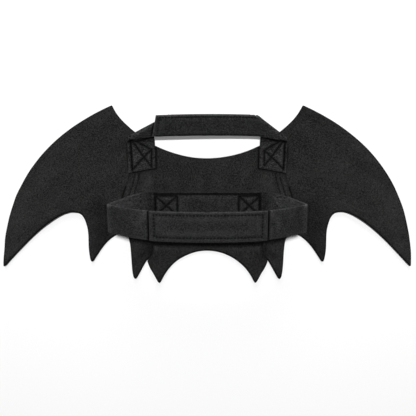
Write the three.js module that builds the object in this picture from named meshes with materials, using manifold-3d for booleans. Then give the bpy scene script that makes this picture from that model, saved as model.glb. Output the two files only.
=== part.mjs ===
// Bat wings worn by a small pet, cut and sewn from thick felt, lying on their outer face.
// The straps point up: a wide loop goes round the belly and a short one round the neck.
// Millimetres. +X runs along the span, +Y from the hem to the neck, +Z up from the floor.
// While the pieces are made, y = 0 is the line through the two notches beside the body's teeth.

import * as THREE from 'three';
import { mergeVertices } from 'three/addons/utils/BufferGeometryUtils.js';
import Module from 'manifold-3d';

const wasm = await Module();
wasm.setup();

// Driving sizes of the felt sheets
const SPAN = 481.5;
const WING_RISE = 178.8;
const SIDE_LENGTH = 143.7;
const SHOULDER_SPAN = 177;
const NECK_SPAN = 152;
const NECK_DEPTH = 23.4;
const TOOTH_SPAN = 113;
const TOOTH_DROP = 29.1;
const HEM_RISE = 11.5;
const LAP = 12;
const LAP_RAMP = 4;
const FELT = 2;
const TIP_ROUNDING = 5;
const WING_CAMBER = 4;
const HEM_CURL = 4;
const CURL_START = 20;

// Driving sizes of the straps
const STRAP_WIDTH = 30;
const STRAP = 2.4;
const BELLY_UP = 66.8;
const BELLY_SEAT = 124;
const BELLY_SPREAD = 206;
const CREASE_HEIGHT = 63;
const LOOP_HEIGHT = 96.3;
const CREASE_ROUNDING = 3.5;
const STRAP_ENDS_GAP = 3;
const FLAP = 2;
const FLAP_LENGTH = 114.5;
const FLAP_SHIFT = 0.9;

// Driving sizes of the neck straps
const TAB_INSET = 1;
const TAB_LENGTH = 32.5;
const TAB_SLANT = 5.2;
const TAB_TOP = 7;
const TAB_BEND = 5;
const TAB_SLOPE = THREE.MathUtils.degToRad(38.5);
const BAND_UP = 13.7;
const BAND_START = 54;
const BAND_BOW = 1.2;
const LONG_STRAP_PAST = 3;
const LONG_STRAP_END_SLANT = 3.5;
const SHORT_STRAP_REACH = 45;

// Each neck strap's fold line: how far up the slope it starts on the tab's outer edge, and how
// far its other end leans in
const SHORT_FOLD = { start: 8, lean: 19.5 };
const LONG_FOLD = { start: 5.5, lean: 11 };

// Clearances and finish
const GAP = 0.3;
const LAP_CLEAR = 0.6;
const SPACING = 5;
const GRID = 10;
const FELT_COLOUR = 0x29292a;
const STRAP_COLOUR = 0x2b2b2d;

// The body's side edge, from the notch up to the shoulder: up as a share of SIDE_LENGTH,
// out as a share of half SHOULDER_SPAN, lap (how far it lies over the wing) as a share of LAP
const BODY_SIDE = [
  { up: 0.0, out: 0.798, lap: 0.25 },
  { up: 0.045, out: 0.737, lap: 0.35 },
  { up: 0.1, out: 0.716, lap: 0.45 },
  { up: 0.145, out: 0.722, lap: 0.5 },
  { up: 0.25, out: 0.82, lap: 0.6 },
  { up: 0.375, out: 1.0, lap: 0.8 },
  { up: 0.5, out: 1.082, lap: 1.0 },
  { up: 0.6, out: 1.04, lap: 0.95 },
  { up: 0.71, out: 0.99, lap: 0.85 },
  { up: 0.85, out: 0.995, lap: 0.85 },
  { up: 1.0, out: 1.0, lap: 0.85 },
];

// The wing's outline from its top tip round to the notch, a row per stretch: two curve handles
// and the end, x as a share of the wing's reach past the notch, y as a share of WING_RISE
const WING_EDGE = [
  { name: 'outer arc', ax: 0.705, ay: 0.795, bx: 0.969, by: 0.417, x: 0.997, y: -0.052 },
  { name: 'first scallop', ax: 0.772, ay: 0.172, bx: 0.609, by: 0.327, x: 0.478, y: 0.331 },
  { name: 'first scallop end', ax: 0.427, ay: 0.324, bx: 0.412, by: 0.288, x: 0.403, y: 0.246 },
  { name: 'first tooth', ax: 0.386, ay: 0.159, bx: 0.411, by: 0.069, x: 0.382, y: -0.018 },
  { name: 'second scallop', ax: 0.327, ay: 0.052, bx: 0.274, by: 0.156, x: 0.168, y: 0.185 },
  { name: 'second scallop end', ax: 0.139, ay: 0.174, bx: 0.119, by: 0.156, x: 0.115, y: 0.125 },
  { name: 'second tooth', ax: 0.104, ay: 0.009, bx: 0.115, by: -0.096, x: 0.087, y: -0.139 },
  { name: 'inner side of the tooth', ax: 0.056, ay: -0.096, bx: 0.034, by: -0.045, x: 0, y: 0 },
];
const WING_TOP = { x: 0.199, y: 1.0 };
const WING_TOP_EDGE = { rootY: 0.826, ax: 0.116, ay: 0.883, bx: 0.165, by: 0.921 };

// Handles of the body's three curved edges, as shares of the sizes that each edge joins
const NECK_CURVE = { flat: 0.39, ax: 0.684, ay: 0.41 };
const TOOTH_CURVE = { ax: 0.22, ay: 0.33, bx: 0.58, by: 0.61 };
const HEM_CURVE = { ax: 0.82, ay: 0.61, flat: 0.44 };

// Handles of the belly loop: out as a share of half BELLY_SPREAD, up as a share of the rise
const LOOP_SIDE = { ax: 0.777, bx: 0.815, by: 0.28 };
const LOOP_FRONT = { ax: 0.757, ay: 0.57, bx: 0.64 };

const HALF_SHOULDER = SHOULDER_SPAN / 2;
const NOTCH_X = BODY_SIDE[0].out * HALF_SHOULDER;
const WING_REACH = SPAN / 2 - NOTCH_X;
const LAYER = STRAP + GAP;
const WING_ROOT = Math.max(...BODY_SIDE.map((row) => row.out)) * HALF_SHOULDER + 2 * LAP_RAMP;
const { clamp, lerp, smoothstep } = THREE.MathUtils;

function signedVolume(geometry) {
  const p = geometry.attributes.position;
  const index = geometry.index;
  const [a, b, c] = [new THREE.Vector3(), new THREE.Vector3(), new THREE.Vector3()];
  let volume = 0;
  for (let i = 0; i < index.count; i += 3) {
    a.fromBufferAttribute(p, index.getX(i));
    b.fromBufferAttribute(p, index.getX(i + 1));
    c.fromBufferAttribute(p, index.getX(i + 2));
    volume += a.dot(b.cross(c)) / 6;
  }
  return volume;
}

// Turns every triangle round when a bent or mirrored body came out with its faces inwards.
function faceOutward(geometry) {
  if (signedVolume(geometry) > 0) return geometry;
  const index = geometry.index;
  for (let i = 0; i < index.count; i += 3) {
    const second = index.getX(i + 1);
    index.setX(i + 1, index.getX(i + 2));
    index.setX(i + 2, second);
  }
  return geometry;
}

function weld(geometry) {
  geometry.deleteAttribute('normal');
  geometry.deleteAttribute('uv');
  return mergeVertices(geometry);
}

// A sheet is a unit box whose every corner is moved by place(u, v, w): u across, v along
// and w through the sheet, w from -0.5 to 0.5.
function bentSheet(across, along, place) {
  const sheet = weld(new THREE.BoxGeometry(1, 1, 1, across, along, 1));
  const p = sheet.attributes.position;
  for (let i = 0; i < p.count; i += 1) {
    const spot = place(p.getX(i) + 0.5, p.getY(i) + 0.5, p.getZ(i));
    p.setXYZ(i, spot.x, spot.y, spot.z);
  }
  return faceOutward(sheet);
}

function toSolid(geometry) {
  const vertProperties = new Float32Array(geometry.attributes.position.array);
  const triVerts = new Uint32Array(geometry.index.array);
  return new wasm.Manifold(new wasm.Mesh({ numProp: 3, vertProperties, triVerts }));
}

function fromSolid(solid) {
  const mesh = solid.getMesh();
  const geometry = new THREE.BufferGeometry();
  geometry.setAttribute('position', new THREE.BufferAttribute(mesh.vertProperties, 3));
  geometry.setIndex(new THREE.BufferAttribute(mesh.triVerts, 1));
  return geometry;
}

function mirrored(geometry) {
  const other = geometry.clone();
  other.scale(-1, 1, 1);
  return faceOutward(other);
}

// Points along a chain of curves, with each corner between two curves rounded off.
function trace(curves, rounding) {
  const points = [];
  curves.forEach((curve, i) => {
    const length = curve.getLength();
    const cut = Math.min(rounding / length, 0.3);
    const start = i > 0 ? cut : 0;
    const end = i < curves.length - 1 ? 1 - cut : 1;
    const count = Math.max(1, Math.round((length * (end - start)) / SPACING));
    for (let k = 0; k <= count; k += 1) {
      points.push(curve.getPointAt(lerp(start, end, k / count)));
    }
    if (end === 1) return;
    const next = curves[i + 1];
    const after = next.getPointAt(Math.min(rounding / next.getLength(), 0.3));
    const corner = new THREE.QuadraticBezierCurve(points.at(-1), curve.getPointAt(1), after);
    points.push(corner.getPoint(0.25), corner.getPoint(0.5), corner.getPoint(0.75));
  });
  return points;
}

function bezier(from, ax, ay, bx, by, x, y) {
  const a = new THREE.Vector2(ax, ay);
  const b = new THREE.Vector2(bx, by);
  return new THREE.CubicBezierCurve(from, a, b, new THREE.Vector2(x, y));
}

// The body's side edge at height y: its distance from the middle and its lap over the wing.
const sideCurve = new THREE.SplineCurve(
  BODY_SIDE.map((row) => new THREE.Vector2(row.out * HALF_SHOULDER, row.up * SIDE_LENGTH)),
);
const sidePoints = sideCurve.getPoints(8 * BODY_SIDE.length);

function bodySide(y) {
  const up = clamp(y, 0, SIDE_LENGTH);
  const k = clamp(sidePoints.findIndex((point) => point.y >= up), 1, sidePoints.length - 1);
  const [low, high] = [sidePoints[k - 1], sidePoints[k]];
  const out = lerp(low.x, high.x, clamp((up - low.y) / (high.y - low.y), 0, 1));
  const share = up / SIDE_LENGTH;
  const row = clamp(BODY_SIDE.findIndex((side) => side.up >= share), 1, BODY_SIDE.length - 1);
  const [below, above] = [BODY_SIDE[row - 1], BODY_SIDE[row]];
  const part = (share - below.up) / (above.up - below.up);
  return { out, lap: LAP * lerp(below.lap, above.lap, clamp(part, 0, 1)) };
}

// How high the felt lies off the floor: flat under the body, lifted in the middle of each
// wing and along the teeth.
function lie(x, y) {
  const across = clamp((Math.abs(x) - WING_ROOT) / (SPAN / 2 - WING_ROOT), 0, 1);
  const down = clamp((CURL_START - y) / (CURL_START + TOOTH_DROP), 0, 1);
  return WING_CAMBER * Math.sin(Math.PI * across) ** 2 + HEM_CURL * down ** 2;
}

// The step by which the body rises where its edge lies over the wing.
function lapStep(x, y) {
  const side = bodySide(y);
  const rampEnd = side.out - side.lap - LAP_CLEAR;
  const up = clamp((Math.abs(x) - rampEnd + LAP_RAMP) / LAP_RAMP, 0, 1);
  return (FELT + GAP) * up * smoothstep(y, -TOOTH_DROP, -TOOTH_DROP / 5);
}

// A felt sheet cut to an outline: the bent slab inside the upright prism of the outline.
function cutFelt(outline, slab) {
  const deep = 2 * (HEM_CURL + WING_CAMBER + 2 * FELT);
  const prism = new THREE.ExtrudeGeometry(new THREE.Shape(outline), { depth: deep, bevelEnabled: false });
  prism.translate(0, 0, -deep / 2);
  return fromSolid(toSolid(slab).intersect(toSolid(weld(prism))));
}

// Body: one sheet with a neck curve at the top, two teeth and an arch at the hem
function bodyOutline() {
  const neckX = NECK_SPAN / 2;
  const toothX = TOOTH_SPAN / 2;
  const neckY = SIDE_LENGTH - NECK_DEPTH;
  const neck = bezier(
    new THREE.Vector2(0, neckY),
    NECK_CURVE.flat * neckX, neckY,
    NECK_CURVE.ax * neckX, neckY + NECK_CURVE.ay * NECK_DEPTH,
    neckX, SIDE_LENGTH,
  );
  const shoulder = new THREE.LineCurve(
    new THREE.Vector2(neckX, SIDE_LENGTH),
    new THREE.Vector2(HALF_SHOULDER, SIDE_LENGTH),
  );
  const side = new THREE.SplineCurve([...sideCurve.points].reverse());
  const tooth = bezier(
    new THREE.Vector2(NOTCH_X, 0),
    lerp(NOTCH_X, toothX, TOOTH_CURVE.ax), -TOOTH_CURVE.ay * TOOTH_DROP,
    lerp(NOTCH_X, toothX, TOOTH_CURVE.bx), -TOOTH_CURVE.by * TOOTH_DROP,
    toothX, -TOOTH_DROP,
  );
  const hem = bezier(
    new THREE.Vector2(toothX, -TOOTH_DROP),
    HEM_CURVE.ax * toothX, lerp(-TOOTH_DROP, HEM_RISE, HEM_CURVE.ay),
    HEM_CURVE.flat * toothX, HEM_RISE,
    0, HEM_RISE,
  );
  const half = trace([neck, shoulder, side, tooth, hem], TIP_ROUNDING);
  const other = half.slice(1, -1).reverse().map((point) => new THREE.Vector2(-point.x, point.y));
  return [...half, ...other];
}

function makeBody() {
  const bottom = -TOOTH_DROP - 2;
  const top = SIDE_LENGTH + 2;
  const rows = Math.round((top - bottom) / 8);
  const place = (u, v, w) => {
    const y = lerp(bottom, top, v);
    const side = bodySide(y);
    const rampEnd = side.out - side.lap - LAP_CLEAR;
    const half = [0, rampEnd / 2, rampEnd - LAP_RAMP, rampEnd, side.out + 2];
    const column = Math.round(8 * u) - 4;
    const x = Math.sign(column) * half[Math.abs(column)];
    return new THREE.Vector3(x, y, lie(x, y) + lapStep(x, y) + (w + 0.5) * FELT);
  };
  return cutFelt(bodyOutline(), bentSheet(8, rows, place));
}

// Wing: tucked under the body's side edge and free from there on
function wingOutline() {
  const rootX = (y) => bodySide(y).out - bodySide(y).lap;
  const rootTopY = WING_TOP_EDGE.rootY * WING_RISE;
  const hidden = [new THREE.Vector2(NOTCH_X, 0)];
  const steps = Math.round(rootTopY / SPACING);
  for (let k = 0; k <= steps; k += 1) {
    const y = lerp(0.5, rootTopY, k / steps);
    hidden.push(new THREE.Vector2(rootX(y), y));
  }
  const at = (x, y) => [NOTCH_X + x * WING_REACH, y * WING_RISE];
  const edge = WING_TOP_EDGE;
  const top = bezier(hidden.at(-1), ...at(edge.ax, edge.ay), ...at(edge.bx, edge.by), ...at(WING_TOP.x, WING_TOP.y));
  const curves = [top];
  let from = top.v3;
  for (const row of WING_EDGE) {
    const curve = bezier(from, ...at(row.ax, row.ay), ...at(row.bx, row.by), ...at(row.x, row.y));
    curves.push(curve);
    from = curve.v3;
  }
  const visible = trace(curves, TIP_ROUNDING);
  return [...visible, ...hidden.slice(1, -1)];
}

function makeWing() {
  const left = NOTCH_X - LAP - GRID;
  const right = SPAN / 2 + 2;
  const bottom = -TOOTH_DROP;
  const top = WING_RISE + 2;
  const place = (u, v, w) => {
    const x = lerp(left, right, u);
    const y = lerp(bottom, top, v);
    return new THREE.Vector3(x, y, lie(x, y) + (w + 0.5) * FELT);
  };
  const columns = Math.round((right - left) / GRID);
  const rows = Math.round((top - bottom) / GRID);
  return cutFelt(wingOutline(), bentSheet(columns, rows, place));
}

// A strap is a row of stations: its two edges there and the direction of its thickness.
function makeStrap(stations, thickness, across, drape) {
  const place = (u, v, w) => {
    const station = stations[Math.round(v * (stations.length - 1))];
    const spot = new THREE.Vector3().lerpVectors(station.outer, station.inner, u);
    spot.addScaledVector(station.normal, w * thickness);
    spot.z += drape(spot.x, spot.y);
    return spot;
  };
  return bentSheet(across, stations.length - 1, place);
}

// Belly strap: sewn flat across the body, then up and round, seen along Y as one outline
function loopPoints() {
  const seat = BELLY_SEAT / 2;
  const spread = BELLY_SPREAD / 2;
  const low = FELT + GAP + STRAP / 2;
  const flat = new THREE.LineCurve(new THREE.Vector2(0, low), new THREE.Vector2(seat, low));
  const side = bezier(
    flat.v2,
    LOOP_SIDE.ax * spread, low,
    LOOP_SIDE.bx * spread, lerp(low, CREASE_HEIGHT, LOOP_SIDE.by),
    spread, CREASE_HEIGHT,
  );
  const front = bezier(
    side.v3,
    LOOP_FRONT.ax * spread, lerp(CREASE_HEIGHT, LOOP_HEIGHT, LOOP_FRONT.ay),
    LOOP_FRONT.bx * spread, LOOP_HEIGHT,
    0, LOOP_HEIGHT,
  );
  return trace([flat, side, front], CREASE_ROUNDING);
}

// Stations along a line of points in the XZ plane, pushed out by a distance to its right.
function loopStations(points, push) {
  return points.map((point, i) => {
    const before = points[Math.max(i - 1, 0)];
    const after = points[Math.min(i + 1, points.length - 1)];
    const along = new THREE.Vector2().subVectors(after, before).normalize();
    const normal = new THREE.Vector3(along.y, 0, -along.x);
    const spot = new THREE.Vector3(point.x, BELLY_UP, point.y).addScaledVector(normal, push);
    const outer = spot.clone();
    outer.y += STRAP_WIDTH / 2;
    const inner = spot.clone();
    inner.y -= STRAP_WIDTH / 2;
    return { outer, inner, normal };
  });
}

function makeBellyStrap() {
  const half = loopPoints().filter((point) => point.y < CREASE_HEIGHT || point.x > STRAP_ENDS_GAP);
  half.push(new THREE.Vector2(STRAP_ENDS_GAP / 2, LOOP_HEIGHT));
  const other = half.slice(1).reverse().map((point) => new THREE.Vector2(-point.x, point.y));
  return makeStrap(loopStations([...other, ...half], 0), STRAP, 1, () => 0);
}

function makeBellyClosure() {
  const reach = FLAP_LENGTH / 2;
  const front = loopPoints().filter((point) => point.y > CREASE_HEIGHT);
  const heightAt = (x) => {
    const k = clamp(front.findIndex((point) => point.x <= Math.abs(x)), 1, front.length - 1);
    const part = (front[k - 1].x - Math.abs(x)) / (front[k - 1].x - front[k].x);
    return lerp(front[k - 1].y, front[k].y, clamp(part, 0, 1));
  };
  const count = Math.round(FLAP_LENGTH / SPACING);
  const points = [];
  for (let k = 0; k <= count; k += 1) {
    const x = FLAP_SHIFT + lerp(reach, -reach, k / count);
    points.push(new THREE.Vector2(x, heightAt(x)));
  }
  const push = STRAP / 2 + GAP + FLAP / 2;
  return makeStrap(loopStations(points, push), FLAP, 1, () => 0);
}

// Neck straps: a tab sewn on the shoulder, bent up, folded over slantwise and led across.
// They are worked out for the shoulder at -X. bent() carries a spot of the flat tab, with a
// lift off it, to where the tab's slope takes it.
const TAB_OUTER = -(HALF_SHOULDER - TAB_INSET);
const TAB_INNER = TAB_OUTER + STRAP_WIDTH;
const HINGE_Y = SIDE_LENGTH - TAB_TOP;
const TAB_Z = FELT + GAP + STRAP / 2;

function bent(x, y, lift) {
  const beyond = y - HINGE_Y;
  const arc = TAB_BEND * TAB_SLOPE;
  const angle = clamp(beyond / TAB_BEND, 0, TAB_SLOPE);
  const rest = beyond < 0 ? beyond : Math.max(beyond - arc, 0);
  const along = TAB_BEND * Math.sin(angle) + rest * Math.cos(angle);
  const up = TAB_BEND * (1 - Math.cos(angle)) + rest * Math.sin(angle);
  const normal = new THREE.Vector3(0, -Math.sin(angle), Math.cos(angle));
  const spot = new THREE.Vector3(x, HINGE_Y + along, TAB_Z + up).addScaledVector(normal, lift);
  return { spot, normal };
}

function tabStation(outerY, innerX, innerY, lift, flip) {
  const outer = bent(TAB_OUTER, outerY, lift);
  const inner = bent(innerX, innerY, lift);
  const normal = outer.normal.clone().add(inner.normal).normalize();
  return { outer: outer.spot, inner: inner.spot, normal: flip ? normal.negate() : normal };
}

// How far the band between the two folds is bowed up the slope at a given x.
function bandBow(x) {
  return BAND_BOW * Math.max(0, 1 - (x / BAND_START) ** 2);
}

// The fold line runs from the tab's outer edge to its inner one, which leans in by then. Half
// a layer is left for the turn itself, so that it ends level with the band.
function foldEnds(fold) {
  const innerX = TAB_INNER + fold.lean;
  const innerY = HINGE_Y + BAND_UP + STRAP_WIDTH + bandBow(innerX) - LAYER / 2;
  return { outerY: HINGE_Y + fold.start, innerX, innerY };
}

function tabStations(fold) {
  const stations = [];
  const endY = HINGE_Y - TAB_LENGTH;
  const arc = TAB_BEND * TAB_SLOPE;
  const ends = foldEnds(fold);
  for (let k = 0; k <= 3; k += 1) {
    const outerY = lerp(endY, HINGE_Y, k / 3);
    const innerY = lerp(endY + TAB_SLANT, HINGE_Y, k / 3);
    stations.push(tabStation(outerY, TAB_INNER, innerY, 0, false));
  }
  for (let k = 1; k <= 4; k += 1) {
    const y = HINGE_Y + (arc * k) / 4;
    stations.push(tabStation(y, TAB_INNER, y, 0, false));
  }
  const bendEnd = HINGE_Y + arc;
  for (let k = 1; k <= 3; k += 1) {
    const outerY = lerp(bendEnd, ends.outerY, k / 3);
    const innerY = lerp(bendEnd, ends.innerY, k / 3);
    const innerX = TAB_INNER + fold.lean * (k / 3) ** 3;
    stations.push(tabStation(outerY, innerX, innerY, 0, false));
  }
  return stations;
}

// Half a turn round the fold line, to lie one layer higher with the other face up.
function foldStations(fold) {
  const ends = foldEnds(fold);
  const base = tabStation(ends.outerY, ends.innerX, ends.innerY, 0, false);
  const line = new THREE.Vector3().subVectors(base.inner, base.outer).normalize();
  const normal = bent(ends.innerX, ends.innerY, 0).normal;
  const away = new THREE.Vector3().crossVectors(normal, line);
  const stations = [];
  for (let k = 1; k <= 6; k += 1) {
    const turn = (Math.PI * k) / 6;
    const shift = away.clone().multiplyScalar((LAYER / 2) * Math.sin(turn));
    shift.addScaledVector(normal, (LAYER / 2) * (1 - Math.cos(turn)));
    const facing = normal.clone().multiplyScalar(Math.cos(turn));
    facing.addScaledVector(away, -Math.sin(turn));
    stations.push({ outer: base.outer.clone().add(shift), inner: base.inner.clone().add(shift), normal: facing });
  }
  return stations;
}

// A spot on the band between the two folds, up the tab's slope by a given distance:
// part = 0 where the band leaves the fold at -X and 1 at the same place at +X.
function bandEdge(up, part) {
  const x = lerp(-BAND_START, BAND_START, part);
  return bent(x, HINGE_Y + up + bandBow(x), LAYER).spot;
}

// A station of the band. layersAt(part) says how many layers it lies above the one that
// leaves the fold, so that the two straps stay one layer apart wherever they overlap.
function bandStation(lowPart, topPart, layersAt) {
  const outer = bandEdge(BAND_UP, lowPart);
  const inner = bandEdge(BAND_UP + STRAP_WIDTH, topPart);
  const across = new THREE.Vector3().subVectors(inner, outer).setX(0).normalize();
  const normal = new THREE.Vector3(1, 0, 0).cross(across);
  outer.z += (layersAt(lowPart) * LAYER) / normal.z;
  inner.z += (layersAt(topPart) * LAYER) / normal.z;
  return { outer, inner, normal: normal.negate() };
}

// The whole strap from its tab to its far end.
function neckStations(fold, lastLow, lastTop, layersAt) {
  const ends = foldEnds(fold);
  const folded = tabStation(ends.outerY, ends.innerX, ends.innerY, LAYER, true);
  const stations = [...tabStations(fold), ...foldStations(fold)];
  const firstTop = (ends.innerX + 1 + BAND_START) / (2 * BAND_START);
  const firstBand = bandStation(0, firstTop, layersAt);
  for (let k = 1; k <= 2; k += 1) {
    const outer = new THREE.Vector3().lerpVectors(folded.outer, firstBand.outer, k / 3);
    const inner = new THREE.Vector3().lerpVectors(folded.inner, firstBand.inner, k / 3);
    stations.push({ outer, inner, normal: folded.normal });
  }
  const count = 14;
  for (let k = 0; k <= count; k += 1) {
    const low = (lastLow * k) / count;
    const top = lerp(firstTop, lastTop, k / count);
    stations.push(bandStation(low, top, layersAt));
  }
  return stations;
}

// Keeps the tab clear of the step in the body below it.
function tabDrape(x, y) {
  return lapStep(Math.abs(x) + 0.75 * LAP_RAMP, y);
}

function makeShortNeckStrap() {
  const last = (BAND_START + SHORT_STRAP_REACH) / (2 * BAND_START);
  const stations = neckStations(SHORT_FOLD, last, last, (part) => -smoothstep(part, 0, 1));
  return makeStrap(stations, STRAP, 5, tabDrape);
}

function makeLongNeckStrap() {
  const low = 1 + LONG_STRAP_PAST / (2 * BAND_START);
  const top = low - LONG_STRAP_END_SLANT / (2 * BAND_START);
  const stations = neckStations(LONG_FOLD, low, top, (part) => smoothstep(part, 0, 1));
  return mirrored(makeStrap(stations, STRAP, 5, tabDrape));
}

function addPiece(group, name, geometry, color) {
  const faceted = geometry.toNonIndexed();
  faceted.computeVertexNormals();
  const material = new THREE.MeshStandardMaterial({ color, roughness: 0.95, metalness: 0 });
  const mesh = new THREE.Mesh(faceted, material);
  mesh.name = name;
  group.add(mesh);
}

const wings = new THREE.Group();
const wing = makeWing();
addPiece(wings, 'body_panel', makeBody(), FELT_COLOUR);
addPiece(wings, 'wing_right', wing, FELT_COLOUR);
addPiece(wings, 'wing_left', mirrored(wing), FELT_COLOUR);
addPiece(wings, 'belly_strap', makeBellyStrap(), STRAP_COLOUR);
addPiece(wings, 'belly_closure', makeBellyClosure(), STRAP_COLOUR);
addPiece(wings, 'neck_strap_left', makeShortNeckStrap(), STRAP_COLOUR);
addPiece(wings, 'neck_strap_right', makeLongNeckStrap(), STRAP_COLOUR);

// The origin is under the middle of the whole object, on the floor.
const box = new THREE.Box3().setFromObject(wings);
const middle = box.getCenter(new THREE.Vector3());
wings.position.set(-middle.x, -middle.y, -box.min.z);

export default wings;
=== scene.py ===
# %% [markdown]
# # Bat wings for a small pet
#
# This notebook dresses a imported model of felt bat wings. The costume lies on its outer face with
# the straps up: a felt body, two scalloped wings, a wide strap for the belly with a closure flap,
# and two neck straps that are folded over and closed on each other.
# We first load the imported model. It stays as it is, and every piece made here takes the place of
# one of its nodes. Everything is in metres, in the same frame.

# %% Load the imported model
import math

import bpy
import bmesh
import numpy as np
from mathutils import Matrix, Vector, geometry, kdtree


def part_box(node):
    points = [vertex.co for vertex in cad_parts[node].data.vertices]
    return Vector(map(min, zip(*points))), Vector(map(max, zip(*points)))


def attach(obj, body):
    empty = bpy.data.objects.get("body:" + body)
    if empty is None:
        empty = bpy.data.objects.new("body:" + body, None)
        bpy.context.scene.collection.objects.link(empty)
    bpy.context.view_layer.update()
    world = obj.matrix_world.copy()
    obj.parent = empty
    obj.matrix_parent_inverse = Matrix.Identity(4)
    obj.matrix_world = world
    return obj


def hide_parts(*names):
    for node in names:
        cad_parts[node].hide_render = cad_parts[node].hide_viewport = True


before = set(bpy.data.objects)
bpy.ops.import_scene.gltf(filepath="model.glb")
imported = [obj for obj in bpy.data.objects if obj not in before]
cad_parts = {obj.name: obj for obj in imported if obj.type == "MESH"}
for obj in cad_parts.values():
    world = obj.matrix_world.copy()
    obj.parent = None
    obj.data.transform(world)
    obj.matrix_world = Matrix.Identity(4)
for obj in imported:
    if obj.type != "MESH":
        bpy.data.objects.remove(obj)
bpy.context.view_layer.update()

print("nodes:", sorted(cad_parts))

# %% [markdown]
# ## Sizes
#
# A maker writes the pattern's sizes down once. These are the sizes and tables that the solids
# were made from, in millimetres, with y = 0 at the notches beside the body's teeth. The span, the
# tabs and the flap are fitted to the photograph by about a millimetre more, and the corners of the
# folds by a few. The meshes are moved into the model's frame, and into metres, when they are made.

# %% Sizes of the felt sheets
SPAN, WING_RISE, SIDE_LENGTH, SHOULDER_SPAN = 480.3, 178.8, 143.7, 177.0
NECK_SPAN, NECK_DEPTH, TOOTH_SPAN, TOOTH_DROP, HEM_RISE = 152.0, 23.4, 113.0, 29.1, 11.5
LAP, LAP_RAMP, LAP_CLEAR, FELT, GAP = 12.0, 4.0, 0.6, 2.0, 0.3
TIP_ROUNDING, WING_CAMBER, HEM_CURL, CURL_START = 5.0, 4.0, 4.0, 20.0
HALF_SHOULDER = SHOULDER_SPAN / 2
CORNER_ROUNDING = 1.6
MM = 0.001
SHIFT_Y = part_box("body_panel")[1][1] / MM - SIDE_LENGTH
print("pattern moved along y by", round(SHIFT_Y, 2), "mm")

# %% Sizes of the straps
STRAP_WIDTH, STRAP, BELLY_UP, BELLY_SEAT, BELLY_SPREAD = 30.0, 2.4, 66.8, 124.0, 206.0
CREASE_HEIGHT, LOOP_HEIGHT, CREASE_ROUNDING, STRAP_ENDS_GAP = 63.0, 96.3, 3.5, 3.0
FLAP, FLAP_LENGTH, FLAP_SHIFT = 2.0, 114.5, 1.2
TAB_INSET, TAB_LENGTH, TAB_SLANT, TAB_TOP, TAB_BEND = 0.2, 32.5, 5.2, 7.0, 5.0
TAB_SLOPE = math.radians(38.5)
BAND_UP, BAND_START, BAND_BOW = 13.7, 54.0, 1.2
LONG_STRAP_PAST, LONG_STRAP_END_SLANT, SHORT_STRAP_REACH = 3.0, 3.5, 45.0
CORNER_PULL = 2.6
SHORT_FOLD = {"start": 9.5, "lean": 19.5}
LONG_FOLD = {"start": 7.5, "lean": 7.6}
FOLD_TUCK = 2.6
LAYER = STRAP + GAP
FOLD_TURN = 1.15 * LAYER
BAND_TOP = BAND_UP + STRAP_WIDTH
print("straps are", STRAP_WIDTH, "mm wide, and the belly strap seats over", BELLY_SEAT, "mm")

# %% Tables of the outlines
# The body's side edge, from the notches up: height, half width and lap, as shares of the side's
# length, of half the shoulder span and of LAP.
BODY_SIDE = np.array([
    (0.0, 0.798, 0.25), (0.045, 0.737, 0.35), (0.1, 0.716, 0.45), (0.145, 0.722, 0.5),
    (0.25, 0.82, 0.6), (0.375, 1.0, 0.8), (0.5, 1.082, 1.0), (0.6, 1.04, 0.95),
    (0.71, 0.99, 0.85), (0.85, 0.995, 0.85), (1.0, 1.0, 0.85),
])
# The wing's edge, from its top round to the notch. Each row is one curve: x and y of its first
# handle, of its second handle and of its end, as shares of the wing's reach and rise.
WING_EDGE = [
    (0.705, 0.795, 0.969, 0.417, 0.997, -0.052),
    (0.772, 0.172, 0.609, 0.327, 0.478, 0.331),
    (0.427, 0.324, 0.412, 0.288, 0.403, 0.246),
    (0.386, 0.159, 0.411, 0.069, 0.382, -0.018),
    (0.327, 0.052, 0.274, 0.156, 0.168, 0.185),
    (0.139, 0.174, 0.119, 0.156, 0.115, 0.125),
    (0.104, 0.009, 0.115, -0.096, 0.087, -0.139),
    (0.056, -0.096, 0.034, -0.045, 0.0, 0.0),
]
WING_TOP = (0.199, 1.0)
NOTCH_X = BODY_SIDE[0][1] * HALF_SHOULDER
WING_REACH = SPAN / 2 - NOTCH_X
WING_ROOT = BODY_SIDE[:, 1].max() * HALF_SHOULDER + 2 * LAP_RAMP
print("one wing reaches", round(WING_REACH, 1), "mm past its notch")

# %% [markdown]
# ## Curves
#
# The pattern's edges are cubic curves that meet in corners. A pair of scissors never cuts a
# perfectly sharp corner in felt, so each corner is rounded a little. All curves are sampled at
# steps of 1.2 mm, which is finer than the eye sees at this size.

# %% Curve helpers
STEP = 1.2


def run_length(points):
    return np.r_[0, np.cumsum(np.linalg.norm(np.diff(points, axis=0), axis=1))]


def at_lengths(points, lengths):
    run = run_length(points)
    return np.stack([np.interp(lengths, run, points[:, k]) for k in range(points.shape[1])], 1)


def line(a, b, step=0.5):
    """Points on a straight line from a to b."""
    a, b = np.array(a, float), np.array(b, float)
    count = max(2, round(np.linalg.norm(b - a) / step) + 1)
    return a + (b - a) * np.linspace(0, 1, count)[:, None]


def bezier(*corners):
    a, b, c, d = (np.array(corner, float) for corner in corners)
    t = np.linspace(0, 1, 240)[:, None]
    return a * (1 - t) ** 3 + 3 * b * t * (1 - t) ** 2 + 3 * c * t * t * (1 - t) + d * t**3


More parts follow.
